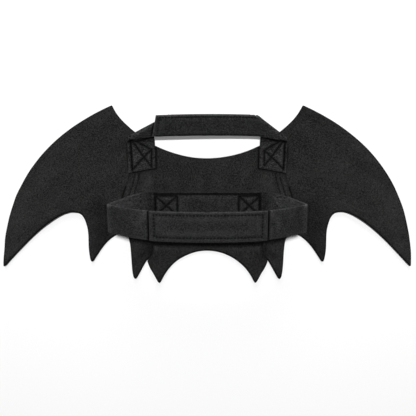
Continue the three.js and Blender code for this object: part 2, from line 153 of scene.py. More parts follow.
def spline(knots, steps=24):
    """A smooth line through every knot, the same rule as the pattern's side edge."""
    padded = np.vstack([knots[:1], knots, knots[-1:]])
    t = np.linspace(0, 1, steps, endpoint=False)[:, None]
    runs = []
    for p0, p1, p2, p3 in zip(padded, padded[1:], padded[2:], padded[3:]):
        v0, v1 = (p2 - p0) / 2, (p3 - p1) / 2
        cube, square = 2 * p1 - 2 * p2 + v0 + v1, 3 * p2 - 3 * p1 - 2 * v0 - v1
        runs.append(cube * t**3 + square * t**2 + v0 * t + p1)
    return np.vstack([*runs, knots[-1:]])


def trace(curves, roundings):
    """One line along a chain of curves, with each corner rounded off by its own amount."""
    joined = []
    for i, curve in enumerate(curves):
        total = run_length(curve)[-1]
        start = min(roundings[i - 1], 0.3 * total) if i else 0
        end = total - min(roundings[i], 0.3 * total) if i < len(curves) - 1 else total
        joined.append(at_lengths(curve, np.linspace(start, end, max(2, round((end - start) / STEP) + 1))))
        if i < len(curves) - 1:
            following = curves[i + 1]
            after = at_lengths(following, [min(roundings[i], 0.3 * run_length(following)[-1])])[0]
            t = np.linspace(0, 1, 8)[1:-1, None]
            joined.append(joined[-1][-1] * (1 - t) ** 2 + 2 * curve[-1] * t * (1 - t) + after * t * t)
    return np.vstack(joined)


# %% The body's side edge
side_line = spline(np.stack([BODY_SIDE[:, 1] * HALF_SHOULDER, BODY_SIDE[:, 0] * SIDE_LENGTH], 1))


def body_side(y):
    """How far out the body's free edge is at height y, and how far it laps over the wing."""
    up = np.clip(y, 0, SIDE_LENGTH)
    out = np.interp(up, side_line[:, 1], side_line[:, 0])
    return out, LAP * np.interp(up / SIDE_LENGTH, BODY_SIDE[:, 0], BODY_SIDE[:, 2])


print("body is", [round(2 * float(body_side(y)[0]), 1) for y in (10, 70, 140)], "mm wide at three heights")

# %% [markdown]
# ## How the felt lies
#
# Felt keeps a memory of how it was packed, so a sheet never lies quite flat. The wings are
# slightly domed, the teeth curl up, the belly strap pulls the body up where it rises, and there
# is a faint unevenness everywhere. All sheets read the same height rule, so that layers which
# lie on each other bend together and never cut through one another.

# %% Height rules
def smooth(value, low, high):
    t = np.clip((value - low) / (high - low), 0, 1)
    return t * t * (3 - 2 * t)


waves = np.random.default_rng(7)
WAVE_ANGLE, WAVE_PHASE = waves.uniform(0, math.pi, 14), waves.uniform(0, 2 * math.pi, 14)
WAVE_LENGTH = waves.uniform(26, 95, 14)


def unevenness(x, y):
    """Soft random swells between 0 and 1."""
    total = sum(
        np.sin(2 * math.pi * (x * math.cos(a) + y * math.sin(a)) / length + phase)
        for a, phase, length in zip(WAVE_ANGLE, WAVE_PHASE, WAVE_LENGTH)
    )
    return np.clip(0.5 + total / 9, 0, 1)


SWELL, PULL, PULL_X, PULL_WIDTH, PULL_LENGTH = 1.8, 3.2, 88, 9.5, 21


def drape(x, y):
    """Lift that all felt sheets share: swells away from the straps, and a pull at the belly strap."""
    ax = np.abs(x)
    seat = smooth(ax, 58, 74) + smooth(np.abs(y - BELLY_UP), 16, 26)
    tab = smooth(np.abs(ax - 74), 17, 26) + smooth(114 - y, 10, 24)
    free = np.clip(seat, 0, 1) * np.clip(tab, 0, 1)
    pull = PULL * np.exp(-(((ax - PULL_X) / PULL_WIDTH) ** 2) - ((y - BELLY_UP) / PULL_LENGTH) ** 2)
    return SWELL * unevenness(x, y) * free + pull


def lie(x, y):
    """Height of the floor side of a sheet: the wings' dome and the curled hem."""
    across = np.clip((np.abs(x) - WING_ROOT) / (SPAN / 2 - WING_ROOT), 0, 1)
    down = np.clip((CURL_START - y) / (CURL_START + TOOTH_DROP), 0, 1)
    return WING_CAMBER * np.sin(math.pi * across) ** 2 + HEM_CURL * down**2


def lap_step(x, y):
    """How far the body is raised where it lies on a wing."""
    out, lap = body_side(y)
    up = smooth(np.abs(x), out - lap - LAP_CLEAR - LAP_RAMP, out - lap - LAP_CLEAR)
    return (FELT + GAP) * up * smooth(y, -TOOTH_DROP, -TOOTH_DROP / 5)


print("felt lies up to", round(float(lie(160.0, 0.0) + drape(160.0, 0.0)), 2), "mm off the floor")

# %% [markdown]
# ## Cutting a sheet
#
# A felt sheet is a flat outline with a thickness and a slightly rounded cut edge. We fill the
# outline with small triangles, lift them by the height rule, add the same again as the
# underside, and close the two with a few rings round the edge. Blender's own constrained
# triangulation fills the outline, which keeps every edge point where the scissors went.
# Two numbers are stored on each point for the material. One is painted light, with a painted shade that
# grows near the cut edge; the other is the darkness of stitch rows, with painted shade where something lies
# on the felt and along the edges that face away from the light.

# %% Filling an outline
# Rings round a cut edge, from the top down: distance inside the outline, and level from 1 to -1.
EDGE_RINGS = [(0.95, 1.0), (0.35, 0.78), (0.0, 0.2), (0.0, -0.35), (0.25, -0.8), (0.95, -1.0)]


def counter_clockwise(outline):
    x, y = outline.T
    area = 0.5 * np.sum(x * np.roll(y, -1) - np.roll(x, -1) * y)
    return outline if area > 0 else outline[::-1]


def inwards(outline):
    """Inward directions along the outline, shorter where a sharp tip leaves less room."""
    ahead, behind = np.roll(outline, -1, 0) - outline, outline - np.roll(outline, 1, 0)
    along = ahead + behind
    normal = np.stack([-along[:, 1], along[:, 0]], 1)
    normal /= np.linalg.norm(normal, axis=1, keepdims=True)
    cross = behind[:, 0] * ahead[:, 1] - behind[:, 1] * ahead[:, 0]
    turn = np.arctan2(cross, np.sum(ahead * behind, axis=1))
    radius = np.linalg.norm(along, axis=1) / 2 / np.maximum(turn, 1e-3)
    room = np.clip(0.35 * radius / EDGE_RINGS[0][0], 0.1, 1)
    for _ in range(4):
        room = np.minimum(room, (np.roll(room, 1) + np.roll(room, -1)) / 2 + 0.08)
    return normal * room[:, None]


def in_space(spot):
    """A spot of two or three coordinates as a vector."""
    return Vector([*spot, *[0] * (3 - len(spot))])


def search(points, targets):
    """What a search tree finds for each point: the nearest target's place, number and distance."""
    tree = kdtree.KDTree(len(targets))
    for i, target in enumerate(targets):
        tree.insert(in_space(target), i)
    tree.balance()
    return [tree.find(in_space(spot)) for spot in points]


def nearest(points, targets):
    """Distance from each point to the nearest target, in the points' own unit."""
    return np.array([found[2] for found in search(points, targets)])


def nearest_number(points, targets):
    """The number of the target that is nearest to each point."""
    return np.array([found[1] for found in search(points, targets)])


def is_inside(points, outline):
    inside = np.zeros(len(points), bool)
    x, y = points.T
    for (x0, y0), (x1, y1) in zip(outline, np.roll(outline, -1, 0)):
        if y0 != y1:
            crosses = ((y0 > y) != (y1 > y)) & (x < (x1 - x0) * (y - y0) / (y1 - y0) + x0)
            inside ^= crosses
    return inside


def fill(ring, spacing, dense):
    """The ring's points, dense rows and a staggered grid, and the triangles that join them."""
    low, high = ring.min(0), ring.max(0)
    rows = np.arange(low[1], high[1], spacing * 0.866)
    columns = np.arange(low[0], high[0], spacing)
    grid = np.array([(x + (k % 2) * spacing / 2, y) for k, y in enumerate(rows) for x in columns])
    grid = grid[is_inside(grid, ring)]
    grid = grid[nearest(grid, ring) > 0.7 * spacing]
    if len(dense):
        dense = dense[is_inside(dense, ring)]
        dense = dense[nearest(dense, ring) > 0.5]
        grid = np.vstack([dense, grid[nearest(grid, dense) > 0.45 * spacing]])
    points = np.vstack([ring, grid])
    result = geometry.delaunay_2d_cdt([Vector(p) for p in points], [], [list(range(len(ring)))], 1, 1e-6)
    order = [source[0] for source in result[3]]
    return points, [[order[i] for i in face] for face in result[2]]


# %% Making a mesh object
def new_mesh(name, vertices, faces, floats=None, uv=None):
    mesh = bpy.data.meshes.new(name)
    placed = (np.asarray(vertices) + (0, SHIFT_Y, 0)) * MM
    mesh.from_pydata(placed.tolist(), [], [list(map(int, face)) for face in faces])
    mesh.polygons.foreach_set("use_smooth", [True] * len(mesh.polygons))
    for label, values in (floats or {}).items():
        mesh.attributes.new(label, "FLOAT", "POINT").data.foreach_set("value", np.asarray(values, float))
    if uv is not None:
        layer = mesh.uv_layers.new(name="cloth")
        corners = np.empty(len(mesh.loops), int)
        mesh.loops.foreach_get("vertex_index", corners)
        layer.data.foreach_set("uv", (np.asarray(uv) * MM * 10)[corners].ravel())
    mesh.update()
    piece = bpy.data.objects.new(name, mesh)
    bpy.context.collection.objects.link(piece)
    print(name, len(mesh.vertices), "points", len(mesh.polygons), "faces")
    return piece


def close_outward(piece):
    shell = bmesh.new()
    shell.from_mesh(piece.data)
    bmesh.ops.recalc_face_normals(shell, faces=shell.faces)
    shell.to_mesh(piece.data)
    shell.free()


# %% [markdown]
# A row of stitches pulls the felt down into a narrow channel. The depth of the channel falls off
# with the distance from the row, and between two rows the felt puffs up a little.

# %% Stitch channels
# Painted shade on the felt sheets' cut edges: strong on the edges that face away from the light, faint on
# all of them.
CHANNEL_DEPTH, CHANNEL_WIDTH, SEAM_WIDTH, SEAM_DARKNESS = 0.7, 1.05, 0.9, 0.6
SHEET_SEAM_DARKNESS, SHADE, SHADE_WIDTH, RIM_SHADE, RIM_WIDTH = 0.4, 0.95, 1.8, 0.2, 0.6
DASH_WIDTH, DASH_REACH, GAP_REACH, PITCH, STITCH = 0.7, 0.6, 0.3, 3.3, 1.7


def channel(distance, depth=CHANNEL_DEPTH):
    return -depth * np.exp(-((distance / CHANNEL_WIDTH) ** 2))


def darkness(distance, width=SEAM_WIDTH, strength=SEAM_DARKNESS):
    """How dark a line looks at a distance from it, from 0 to 1: seams, and painted shadow lines too."""
    return strength * np.exp(-((distance / width) ** 2))


def dashes(row, under=True):
    """The parts of a row that lie under its stitches, or else the parts between them."""
    run = run_length(row)
    count = max(1, int(run[-1] / PITCH))
    part = run / run[-1] * count
    off = np.abs(part - np.round(part)) * run[-1] / count
    return row[off < DASH_REACH] if under else row[off > PITCH / 2 - GAP_REACH]


def beside(row, step=0.6, reach=3):
    """Lines of points along a row and on both sides of it, so that its channel has a smooth shape."""
    row = at_lengths(row, np.arange(0, run_length(row)[-1], 2 * step))
    along = np.gradient(row, axis=0)
    across = np.stack([-along[:, 1], along[:, 0]], 1) / np.linalg.norm(along, axis=1, keepdims=True)
    return np.vstack([row + k * step * across for k in range(-reach, reach + 1)])


def spread_out(points, spots):
    """The strongest of several soft spots at each point: rows of (places, width, strength)."""
    total = np.zeros(len(points))
    for places, width, strength in spots:
        total = np.maximum(total, strength * np.exp(-((nearest(points, places) / width) ** 2)))
    return total


def felt_sheet(name, outline, height, spacing, rows, dark=(), light=()):
    """A felt sheet cut to an outline, with stitch channels, painted contact shadows and painted light
    patches.
    """
    outline = counter_clockwise(outline)
    inward = inwards(outline)
    dense = np.vstack([beside(row) for row in rows]) if rows else []
    points, triangles = fill(outline + EDGE_RINGS[0][0] * inward, spacing, dense)
    seam = nearest(points, np.vstack(rows)) if rows else np.full(len(points), 99.0)
    edge = nearest(points, outline)
    base = height(points[:, 0], points[:, 1])
    top = np.c_[points, base + FELT + channel(seam)]
    bottom = np.c_[points, base]
    vertices, flat = [top, bottom], [points, points]
    count = len(outline)
    rings = [np.arange(count)]
    start = 2 * len(points)
    for inset, level in EDGE_RINGS[1:-1]:
        ring = outline + inset * inward
        z = height(ring[:, 0], ring[:, 1]) + FELT * (level + 1) / 2
        vertices.append(np.c_[ring, z])
        flat.append(ring)
        rings.append(np.arange(start, start + count))
        start += count
    rings.append(np.arange(len(points), len(points) + count))
    faces = [*triangles, *[[i + len(points) for i in reversed(face)] for face in triangles]]
    for upper, lower in zip(rings, rings[1:]):
        for i in range(count):
            j = (i + 1) % count
            faces.append([upper[i], lower[i], lower[j], upper[j]])
    rim = np.r_[edge, edge, np.zeros(4 * count)]
    # Painted shade along the cut edges that face away from the light, on the top and on the edge rings.
    shade = np.clip(1.3 * inward[:, 1], 0, 1) ** 0.7
    low_edge_shade = SHADE * shade[nearest_number(points, outline)] * np.exp(-((edge / SHADE_WIDTH) ** 2))
    if rows:
        dark = [*dark, (np.vstack([dashes(row) for row in rows]), DASH_WIDTH, 1.0)]
    # The seam number holds the stitches' darkness and the painted shade of the dark marks.
    sewn = np.maximum(darkness(seam, strength=SHEET_SEAM_DARKNESS), spread_out(points, dark))
    sewn = np.maximum(sewn, low_edge_shade)
    # Painted light from the light marks; the cut edge gets a faint painted shade.
    painted_light_and_speckle = spread_out(points, light)
    floats = {
        "rim": np.r_[painted_light_and_speckle, np.zeros(len(points) + 4 * count)] - RIM_SHADE * np.exp(-rim / RIM_WIDTH),
        "seam": np.r_[sewn, np.zeros(len(points)), np.tile(SHADE * shade, 4)],
    }
    piece = new_mesh(name, np.vstack(vertices), faces, floats, np.vstack(flat))
    close_outward(piece)
    return piece


# %% [markdown]
# ## The body
#
# The body is one sheet: a neck curve at the top, wavy sides that lap over the wings, and two
# teeth with an arch between them at the hem. Two rows of stitches run inside each free side edge
# and hold the wing that is tucked underneath. We draw the right half and mirror it.
# Marks on a sheet are rows of places, a width in millimetres and a strength. Dark marks are painted shade,
# where something lies on the felt or the felt turns down, and light marks are painted light.

# %% Body outline
def body_outline():
    neck_x, tooth_x, neck_y = NECK_SPAN / 2, TOOTH_SPAN / 2, SIDE_LENGTH - NECK_DEPTH
    neck = bezier((0, neck_y), (0.39 * neck_x, neck_y), (0.684 * neck_x, neck_y + 0.41 * NECK_DEPTH),
                  (neck_x, SIDE_LENGTH))
    shoulder = np.array([(neck_x, SIDE_LENGTH), (HALF_SHOULDER, SIDE_LENGTH)])
    down = side_line[::-1]
    between = lambda share: NOTCH_X + (tooth_x - NOTCH_X) * share
    tooth = bezier((NOTCH_X, 0), (between(0.22), -0.33 * TOOTH_DROP), (between(0.58), -0.61 * TOOTH_DROP),
                   (tooth_x, -TOOTH_DROP))
    arch_y = -TOOTH_DROP + 0.61 * (HEM_RISE + TOOTH_DROP)
    hem = bezier((tooth_x, -TOOTH_DROP), (0.82 * tooth_x, arch_y), (0.44 * tooth_x, HEM_RISE),
                 (0, HEM_RISE))
    half = trace([neck, shoulder, down, tooth, hem], [CORNER_ROUNDING] * 3 + [TIP_ROUNDING])
    return np.vstack([half, (half * (-1, 1))[-2:0:-1]])


def side_row(inset, low, high):
    """A line along the body's free side edge, a given distance inside it (below zero, outside it)."""
    y = np.arange(low, high, 0.5)
    out, lap = body_side(y)
    slope = np.gradient(out, y)
    return np.stack([out - inset / np.sqrt(1 + slope**2), y + inset * slope / np.sqrt(1 + slope**2)], 1)


# Rows of stitches at each side: distance inside the edge, lower end and upper end.
SIDE_ROWS = ((5.9, 24, 106), (10.8, 48, 104))
body_rows = [side_row(*row) * (side, 1) for side in (1, -1) for row in SIDE_ROWS]


def both_sides(points):
    return np.vstack([points, points * (-1, 1)])


def chain(*corners):
    """Places on straight lines through the corners, for a mark on a sheet."""
    return np.vstack([line(a, b, 0.7) for a, b in zip(corners, corners[1:])])


# %% Body marks
OUTER_MARGIN, INNER_MARGIN, END_MARGIN = 0.6, 0.8, 0.5
tab_out = HALF_SHOULDER - TAB_INSET + OUTER_MARGIN
tab_in = HALF_SHOULDER - TAB_INSET - STRAP_WIDTH - INNER_MARGIN
tab_end = SIDE_LENGTH - TAB_TOP - TAB_LENGTH - END_MARGIN
around_tab = chain((tab_out, SIDE_LENGTH), (tab_out, tab_end), (tab_in, tab_end + TAB_SLANT),
                   (tab_in, SIDE_LENGTH))
# Painted shade round the tabs, along the lower side edges, under the belly strap and faintly over the
# teeth.
body_painted_shade = [
    (both_sides(around_tab), 1.2, 0.95),
    (both_sides(side_row(0.4, 0, 16)), 0.9, 0.8),
    (both_sides(chain((-90, 24.5), (-77.5, 22), (-62.6, 20.3), (0, 19.3))), 1.0, 0.6),
    (both_sides(chain((26, 4), (50, -14))), 14.0, 0.14),
]
# Painted light where the felt bulges beside the belly strap, and along a band below the strap's shadow.
body_painted_light = [
    (both_sides(chain((73, 86), (66, 96))), 7.0, 0.2),
    (both_sides(chain((70, 78), (82, 78))), 7.0, 0.3),
    (both_sides(chain((0, 14.5), (60, 15.5))), 2.5, 0.4),
]
print(len(body_rows), "rows of stitches,", len(body_painted_shade), "dark marks,", len(body_painted_light), "light marks")

# %% Body sheet
body_height = lambda x, y: lie(x, y) + lap_step(x, y) + drape(x, y)
MESH_SPACING = 1.7
body = felt_sheet("body_felt", body_outline(), body_height, MESH_SPACING, body_rows, body_painted_shade,
                  body_painted_light)

# %% [markdown]
# ## The wings
#
# Each wing is cut with three scalloped points along its lower edge, like the membrane between a
# bat's fingers. Its root is hidden under the body. The left wing is the right one mirrored,
# outline first, so its faces come out the right way round.

# %% Wing outline
def wing_outline():
    place = lambda x, y: (NOTCH_X + x * WING_REACH, y * WING_RISE)
    root_top = 0.826 * WING_RISE
    hidden_y = np.linspace(0.5, root_top, 90)
    out, lap = body_side(hidden_y)
    hidden = np.stack([out - lap, hidden_y], 1)
    curves = [bezier(hidden[-1], place(0.116, 0.883), place(0.165, 0.921), place(*WING_TOP))]
    for ax, ay, bx, by, x, y in WING_EDGE:
        curves.append(bezier(curves[-1][-1], place(ax, ay), place(bx, by), place(x, y)))
    return np.vstack([trace(curves, [CORNER_ROUNDING] + [TIP_ROUNDING] * 7), hidden[1:-1]])


# %% Wing sheets
wing_height = lambda x, y: lie(x, y) + drape(x, y)
# Painted shade where the body's edge lies on the wing, in the hollow beside each notch and beside the belly
# strap; painted light over the outer parts of the wing.
wing_painted_shade = [
    (side_row(-1.3, 108, 138), 0.9, 0.8),
    (side_row(-0.6, 88, 108), 0.9, 0.45),
    (side_row(-0.7, 68, 88), 1.4, 0.98),
    (side_row(-0.8, -2, 18), 1.2, 0.9),
    (chain((67, 6), (68, 15)), 4.0, 0.55),
    (chain((66, 15), (78, 5)), 3.5, 0.4),
    (chain((122, 20), (124, 66)), 11.0, 0.38),
    (chain((116.8, 30), (116.8, 66)), 1.3, 0.7),
]
wing_painted_light = [(chain((226, 10), (214, 74)), 16.0, 0.2), (chain((190, 50), (170, 120)), 40.0, 0.1)]


def wing_sheet(name, side):
    dark, light = (
        [(places * (side, 1), width, strength) for places, width, strength in marks]
        for marks in (wing_painted_shade, wing_painted_light)
    )
    return felt_sheet(name, wing_outline() * (side, 1), wing_height, MESH_SPACING, [], dark, light)


wing_right = wing_sheet("wing_felt_right", 1)
wing_left = wing_sheet("wing_felt_left", -1)

# %% [markdown]
# ## Straps
#
# A strap is a strip of the same felt, folded to two layers. We describe it as a row of
# stations: where its two edges are at each place along it, and which way its upper face looks.
# The strip between them gets rounded edges, and the stitch channels are pressed in where the
# sewing rows run.

# %% Strap helper
# Painted highlights along the straps' edges and on felt puffed up between stitch rows.
EDGE_ROUND, EDGE_LEAST, STRAP_RIM_WIDTH, UNDER_RIM_LIGHT = 0.8, 0.3, 0.7, 0.6
PUFF_DISTANCE, PUFF_WIDTH, PUFF_HIGHLIGHT = 3.4, 4.0, 0.45
UPPER, UNDER = 1, -1


def edge_steps(length, step=0.8):
    """Positions along a length, close together near both ends so that the edge can be round."""
    ends = np.array([0, 0.2, 0.5, 0.9, 1.4])
    count = max(1, round((length - 2 * ends[-1]) / step))
    return np.r_[ends, np.linspace(ends[-1], length - ends[-1], count + 1)[1:-1], length - ends[::-1]]


class Strap:
    """A strip of felt over dense stations: a grid of middle points, their normals and its shell."""

    def __init__(self, outer, inner, facing, thickness, step=0.8, rim_light=0.35):
        middle = (outer + inner) / 2
        run = np.maximum.accumulate(run_length(middle))
        run = run + np.arange(len(run)) * 1e-6
        self.along = edge_steps(run[-1], step)
        self.across = edge_steps(STRAP_WIDTH, step)
        self.rim_light = rim_light
        column = lambda table: np.stack([np.interp(self.along, run, table[:, k]) for k in range(3)], 1)
        outer, inner, facing = column(outer), column(inner), column(facing)
        share = (self.across / STRAP_WIDTH)[None, :, None]
        self.grid = outer[:, None] * (1 - share) + inner[:, None] * share
        slope_s = np.gradient(self.grid, axis=0)
        slope_t = np.gradient(self.grid, axis=1)
        normal = np.cross(slope_s, slope_t)
        normal /= np.linalg.norm(normal, axis=2, keepdims=True) + 1e-12
        wanted = np.sign(np.einsum("ijk,ik->ij", normal, facing))
        self.normal = normal * np.where(wanted == 0, 1, wanted)[:, :, None]
        self.thickness = thickness
        self.relief = {face: np.zeros(self.grid.shape[:2]) for face in (UPPER, UNDER)}
        self.seam = {face: np.zeros(self.grid.shape[:2]) for face in (UPPER, UNDER)}
        self.painted_light_and_speckle = {face: np.zeros(self.grid.shape[:2]) for face in (UPPER, UNDER)}
        end = np.minimum(self.along, self.along[-1] - self.along)[:, None]
        side = np.minimum(self.across, STRAP_WIDTH - self.across)[None, :]
        self.edge = np.minimum(end, side)
        rounding = np.clip(self.edge / EDGE_ROUND, 0, 1)
        self.half = thickness / 2 * np.maximum(EDGE_LEAST, np.sqrt(1 - (1 - rounding) ** 2))

    def index(self, s, t):
        """Row and column, with fractions, of distances s along and t across the strap."""
        return (np.interp(s, self.along, np.arange(len(self.along))),
                np.interp(t, self.across, np.arange(len(self.across))))

    def read(self, table, s, t):
        """The value of a grid table at distances s along and t across the strap."""
        i, j = self.index(s, t)
        i0 = np.clip(np.floor(i).astype(int), 0, table.shape[0] - 2)
        j0 = np.clip(np.floor(j).astype(int), 0, table.shape[1] - 2)
        u, v = i - i0, j - j0
        if table.ndim == 3:
            u, v = u[:, None], v[:, None]
        return (table[i0, j0] * (1 - u) * (1 - v) + table[i0 + 1, j0] * u * (1 - v)
                + table[i0, j0 + 1] * (1 - u) * v + table[i0 + 1, j0 + 1] * u * v)

    def near(self, rows):
        """How far every point of the grid is from the nearest of some (s, t) points."""
        s, t = np.vstack(rows).T
        return nearest(self.grid.reshape(-1, 3), self.read(self.grid, s, t)).reshape(self.edge.shape)

    def press(self, rows, face=UPPER, depth=CHANNEL_DEPTH, puff=0.0, width=SEAM_WIDTH,
              strength=SEAM_DARKNESS, dash=0.0, gaps=0.0):
        """Presses channels along rows of (s, t) points, and puffs the felt up between them.

        A dash darkens the felt under each stitch, and gaps paint light on it between the stitches. Puffed
        felt gets a painted highlight, and the same darkening also paints shadow lines where nothing is
        sewn.
        """
        rows = [at_lengths(row, np.arange(0, run_length(row)[-1], 0.25)) for row in rows]
        distance = self.near(rows)
        self.seam[face] = np.maximum(self.seam[face], darkness(distance, width, strength))
        self.relief[face] += channel(distance, depth)
        beside_row = np.exp(-(((distance - PUFF_DISTANCE) / PUFF_WIDTH) ** 2)) * smooth(distance, 0.8, 3.0)
        puffed = puff * beside_row * smooth(self.edge, 0.5, 3.0)
        self.relief[face] += puffed
        # Puffed felt gets a painted highlight.
        self.painted_light_and_speckle[face] += PUFF_HIGHLIGHT * puffed
        if dash:
            under = self.near([dashes(row) for row in rows])
            self.seam[face] = np.maximum(self.seam[face], darkness(under, DASH_WIDTH, dash))
        if gaps:
            between = self.near([dashes(row, False) for row in rows])
            self.painted_light_and_speckle[face] += darkness(between, DASH_WIDTH, gaps)

    def paint_shadow(self, face, places, width, strength):
        """Painted shadow line on one face, near places in space."""
        distance = nearest(self.side(face).reshape(-1, 3), places).reshape(self.edge.shape)
        self.seam[face] = np.maximum(self.seam[face], darkness(distance, width, strength))

    def stroke(self, a, b, endless=False):
        """How far each point is from a stroke between two spots (s, t), and its share along it."""
        s, t = np.meshgrid(self.along, self.across, indexing="ij")
        a, run = np.array(a, float), np.array(b, float) - a
        share = ((s - a[0]) * run[0] + (t - a[1]) * run[1]) / (run @ run)
        if not endless:
            share = np.clip(share, 0, 1)
        return np.hypot(s - a[0] - share * run[0], t - a[1] - share * run[1]), share

    def crease(self, a, b, height, width):
        """A soft ridge across the strap, strongest in the middle of its length."""
        off, share = self.stroke(a, b, endless=True)
        fade = smooth(share, -0.2, 0.3) * (1 - smooth(share, 0.7, 1.2))
        lift = height * np.exp(-((off / width) ** 2)) * fade
        self.grid += self.normal * lift[:, :, None]

    def brush(self, face, a, b, width, amount):
        """Paints light (or shade, below zero) along a soft stroke between two spots (s, t)."""
        off, _ = self.stroke(a, b)
        self.painted_light_and_speckle[face] += amount * np.exp(-((off / width) ** 2))

    def side(self, face):
        return self.grid + face * self.normal * (self.half + self.relief[face])[:, :, None]

    def build(self, name):
        n, m = self.edge.shape
        vertices = np.vstack([self.side(UPPER).reshape(-1, 3), self.side(UNDER).reshape(-1, 3)])
        number = np.arange(n * m).reshape(n, m)
        corners = [number[:-1, :-1], number[1:, :-1], number[1:, 1:], number[:-1, 1:]]
        quads = np.stack(corners, -1).reshape(-1, 4)
        border = np.r_[number[:, 0], number[-1, 1:], number[-2::-1, -1], number[0, -2:0:-1]]
        after = np.roll(border, -1)
        wall = np.stack([border, border + n * m, after + n * m, after], 1)
        faces = np.vstack([quads, quads[:, ::-1] + n * m, wall])
        s, t = np.meshgrid(self.along, self.across, indexing="ij")
        sheet_uv = np.stack([s, t], -1).reshape(-1, 2)
        # Painted highlights along the edges, added to the strap's painted light, painted shade and
        # speckles; the seam table holds stitches and painted shadows.
        rim = np.exp(-self.edge / STRAP_RIM_WIDTH).ravel()
        sewn = np.r_[self.seam[UPPER].ravel(), self.seam[UNDER].ravel()]
        painted_light_and_speckle = np.r_[self.painted_light_and_speckle[UPPER].ravel(), self.painted_light_and_speckle[UNDER].ravel()]
        floats = {"rim": np.r_[self.rim_light * rim, UNDER_RIM_LIGHT * rim] + painted_light_and_speckle, "seam": sewn}
        piece = new_mesh(name, vertices, faces, floats, np.vstack([sheet_uv, sheet_uv]))
        close_outward(piece)
        return piece


# %% [markdown]
# ## The belly strap
#
# Seen along the body it is one closed outline: flat where it is sewn on, up the two sides to a
# crease, and over to the middle, where the two ends stop short of each other under the flap.
# A cross in a box is sewn at each end of the flat part, and a row of stitches runs between them
# along the upper edge.

# %% Belly strap path
def loop_half():
    seat, spread, low = BELLY_SEAT / 2, BELLY_SPREAD / 2, FELT + GAP + STRAP / 2
    flat = np.array([(0.0, low), (seat, low)])
    rise = bezier((seat, low), (0.777 * spread, low), (0.815 * spread, low + 0.28 * (CREASE_HEIGHT - low)),
                  (spread, CREASE_HEIGHT))
    lift = CREASE_HEIGHT + 0.57 * (LOOP_HEIGHT - CREASE_HEIGHT)
    over = bezier((spread, CREASE_HEIGHT), (0.757 * spread, lift), (0.64 * spread, LOOP_HEIGHT),
                  (0, LOOP_HEIGHT))
    return trace([flat, rise, over], [CREASE_ROUNDING] * 2)


def loop_stations(line, push):
    """Stations over a line in the XZ plane, pushed out to its right."""
    along = np.gradient(line, axis=0)
    along /= np.linalg.norm(along, axis=1, keepdims=True)
    right = np.stack([along[:, 1], np.zeros(len(line)), -along[:, 0]], 1)
    spot = np.stack([line[:, 0], np.full(len(line), BELLY_UP), line[:, 1]], 1) + push * right
    reach = np.array([0, STRAP_WIDTH / 2, 0])
    return spot + reach, spot - reach, right


half_loop = loop_half()
cut_loop = half_loop[(half_loop[:, 1] < LOOP_HEIGHT - 1) | (half_loop[:, 0] > STRAP_ENDS_GAP / 2)]
full_loop = np.vstack([(cut_loop * (-1, 1))[:0:-1], cut_loop])
outer, inner, right = loop_stations(full_loop, 0)
belly = Strap(outer, inner, -right, STRAP, rim_light=0.1)
belly_middle = belly.along[-1] / 2
print("belly strap is", round(belly.along[-1], 1), "mm long")

# %% Belly strap sewing rows
def crossed_box(corners):
    """The four sides and two diagonals of a box, as separate rows."""
    a, b, c, d = corners
    return [line(a, b), line(b, c), line(c, d), line(d, a), line(a, c), line(b, d)]


BELLY_BOXES, BOX_UPPER, BOX_LOWER = ((-59.2, -34.2), (59.8, 35.8)), 4.4, 27.2
UPPER_ROW = (-59.7, 60.3, 2.2)
belly_rows = []
for near, far in BELLY_BOXES:
    near, far = belly_middle + near, belly_middle + far
    belly_rows += crossed_box([(near, BOX_UPPER), (far, BOX_UPPER), (far, BOX_LOWER), (near, BOX_LOWER)])
row_start, row_end, row_t = UPPER_ROW
belly_rows.append(line((belly_middle + row_start, row_t), (belly_middle + row_end, row_t)))
print(len(belly_rows), "rows of stitches on the belly strap")

# %% [markdown]
# The strap isn't smooth: it has soft ridges beside the flap, painted light at the folds and past the flap's
# end, and painted shade in the hollows and in a thin shadow line past the flap's end. The steep part behind
# the folds is speckled.

# %% Belly strap creases
belly_end = belly.along[-1]
roof = belly.grid[:, 0, 2] > CREASE_HEIGHT
left_roof = roof & (belly.along < belly_middle)


def along_roof(x):
    """How far along the strap a place on its front is, for a distance x left of the middle."""
    return float(np.interp(x, -belly.grid[left_roof, 0, 0], belly.along[left_roof]))


# Creases past the flap's end: from (s, t), to (s, t), height and width.
FLAP_CREASES = [
    ((4, 2), (10, 14), -0.55, 3.0),
    ((12, 6), (19, 28), 0.5, 5.0),
    ((24, 0), (20, 22), -0.4, 6.0),
]
# Strokes of painted light, and of painted shade where the amount is below zero, past the flap's end or the
# fold: face, from (s, t), to (s, t), width and amount.
LIGHT_AND_SHADE_STROKES = [
    (UNDER, "flap", (4.2, 0), (4.2, 30), 1.6, 0.2),
    (UNDER, "flap", (5, 3), (13, 15), 4.0, 0.4),
    (UNDER, "fold", (-20, 24), (-8, 6), 8.0, -0.06),
    (UNDER, "fold", (-3, 0), (-3, 1.4), 1.6, 0.9),
    (UNDER, "fold", (-2, 0), (-2, 30), 4.5, 0.3),
    (UNDER, "fold", (-0.5, 0), (-0.5, 1.2), 1.4, 1.2),
    (UPPER, "fold", (4, 6), (44, 6), 17.0, 0.9),
    (UPPER, "fold", (74, 0), (74, 30), 5.0, -0.5),
]
# Painted shadow line of the flap's end on the strap: how far past the end it lies, and where it starts and
# stops across the strap.
FLAP_SHADOW_OFFSET, FLAP_SHADOW_ENDS = 1.5, (0.4, 29.6)

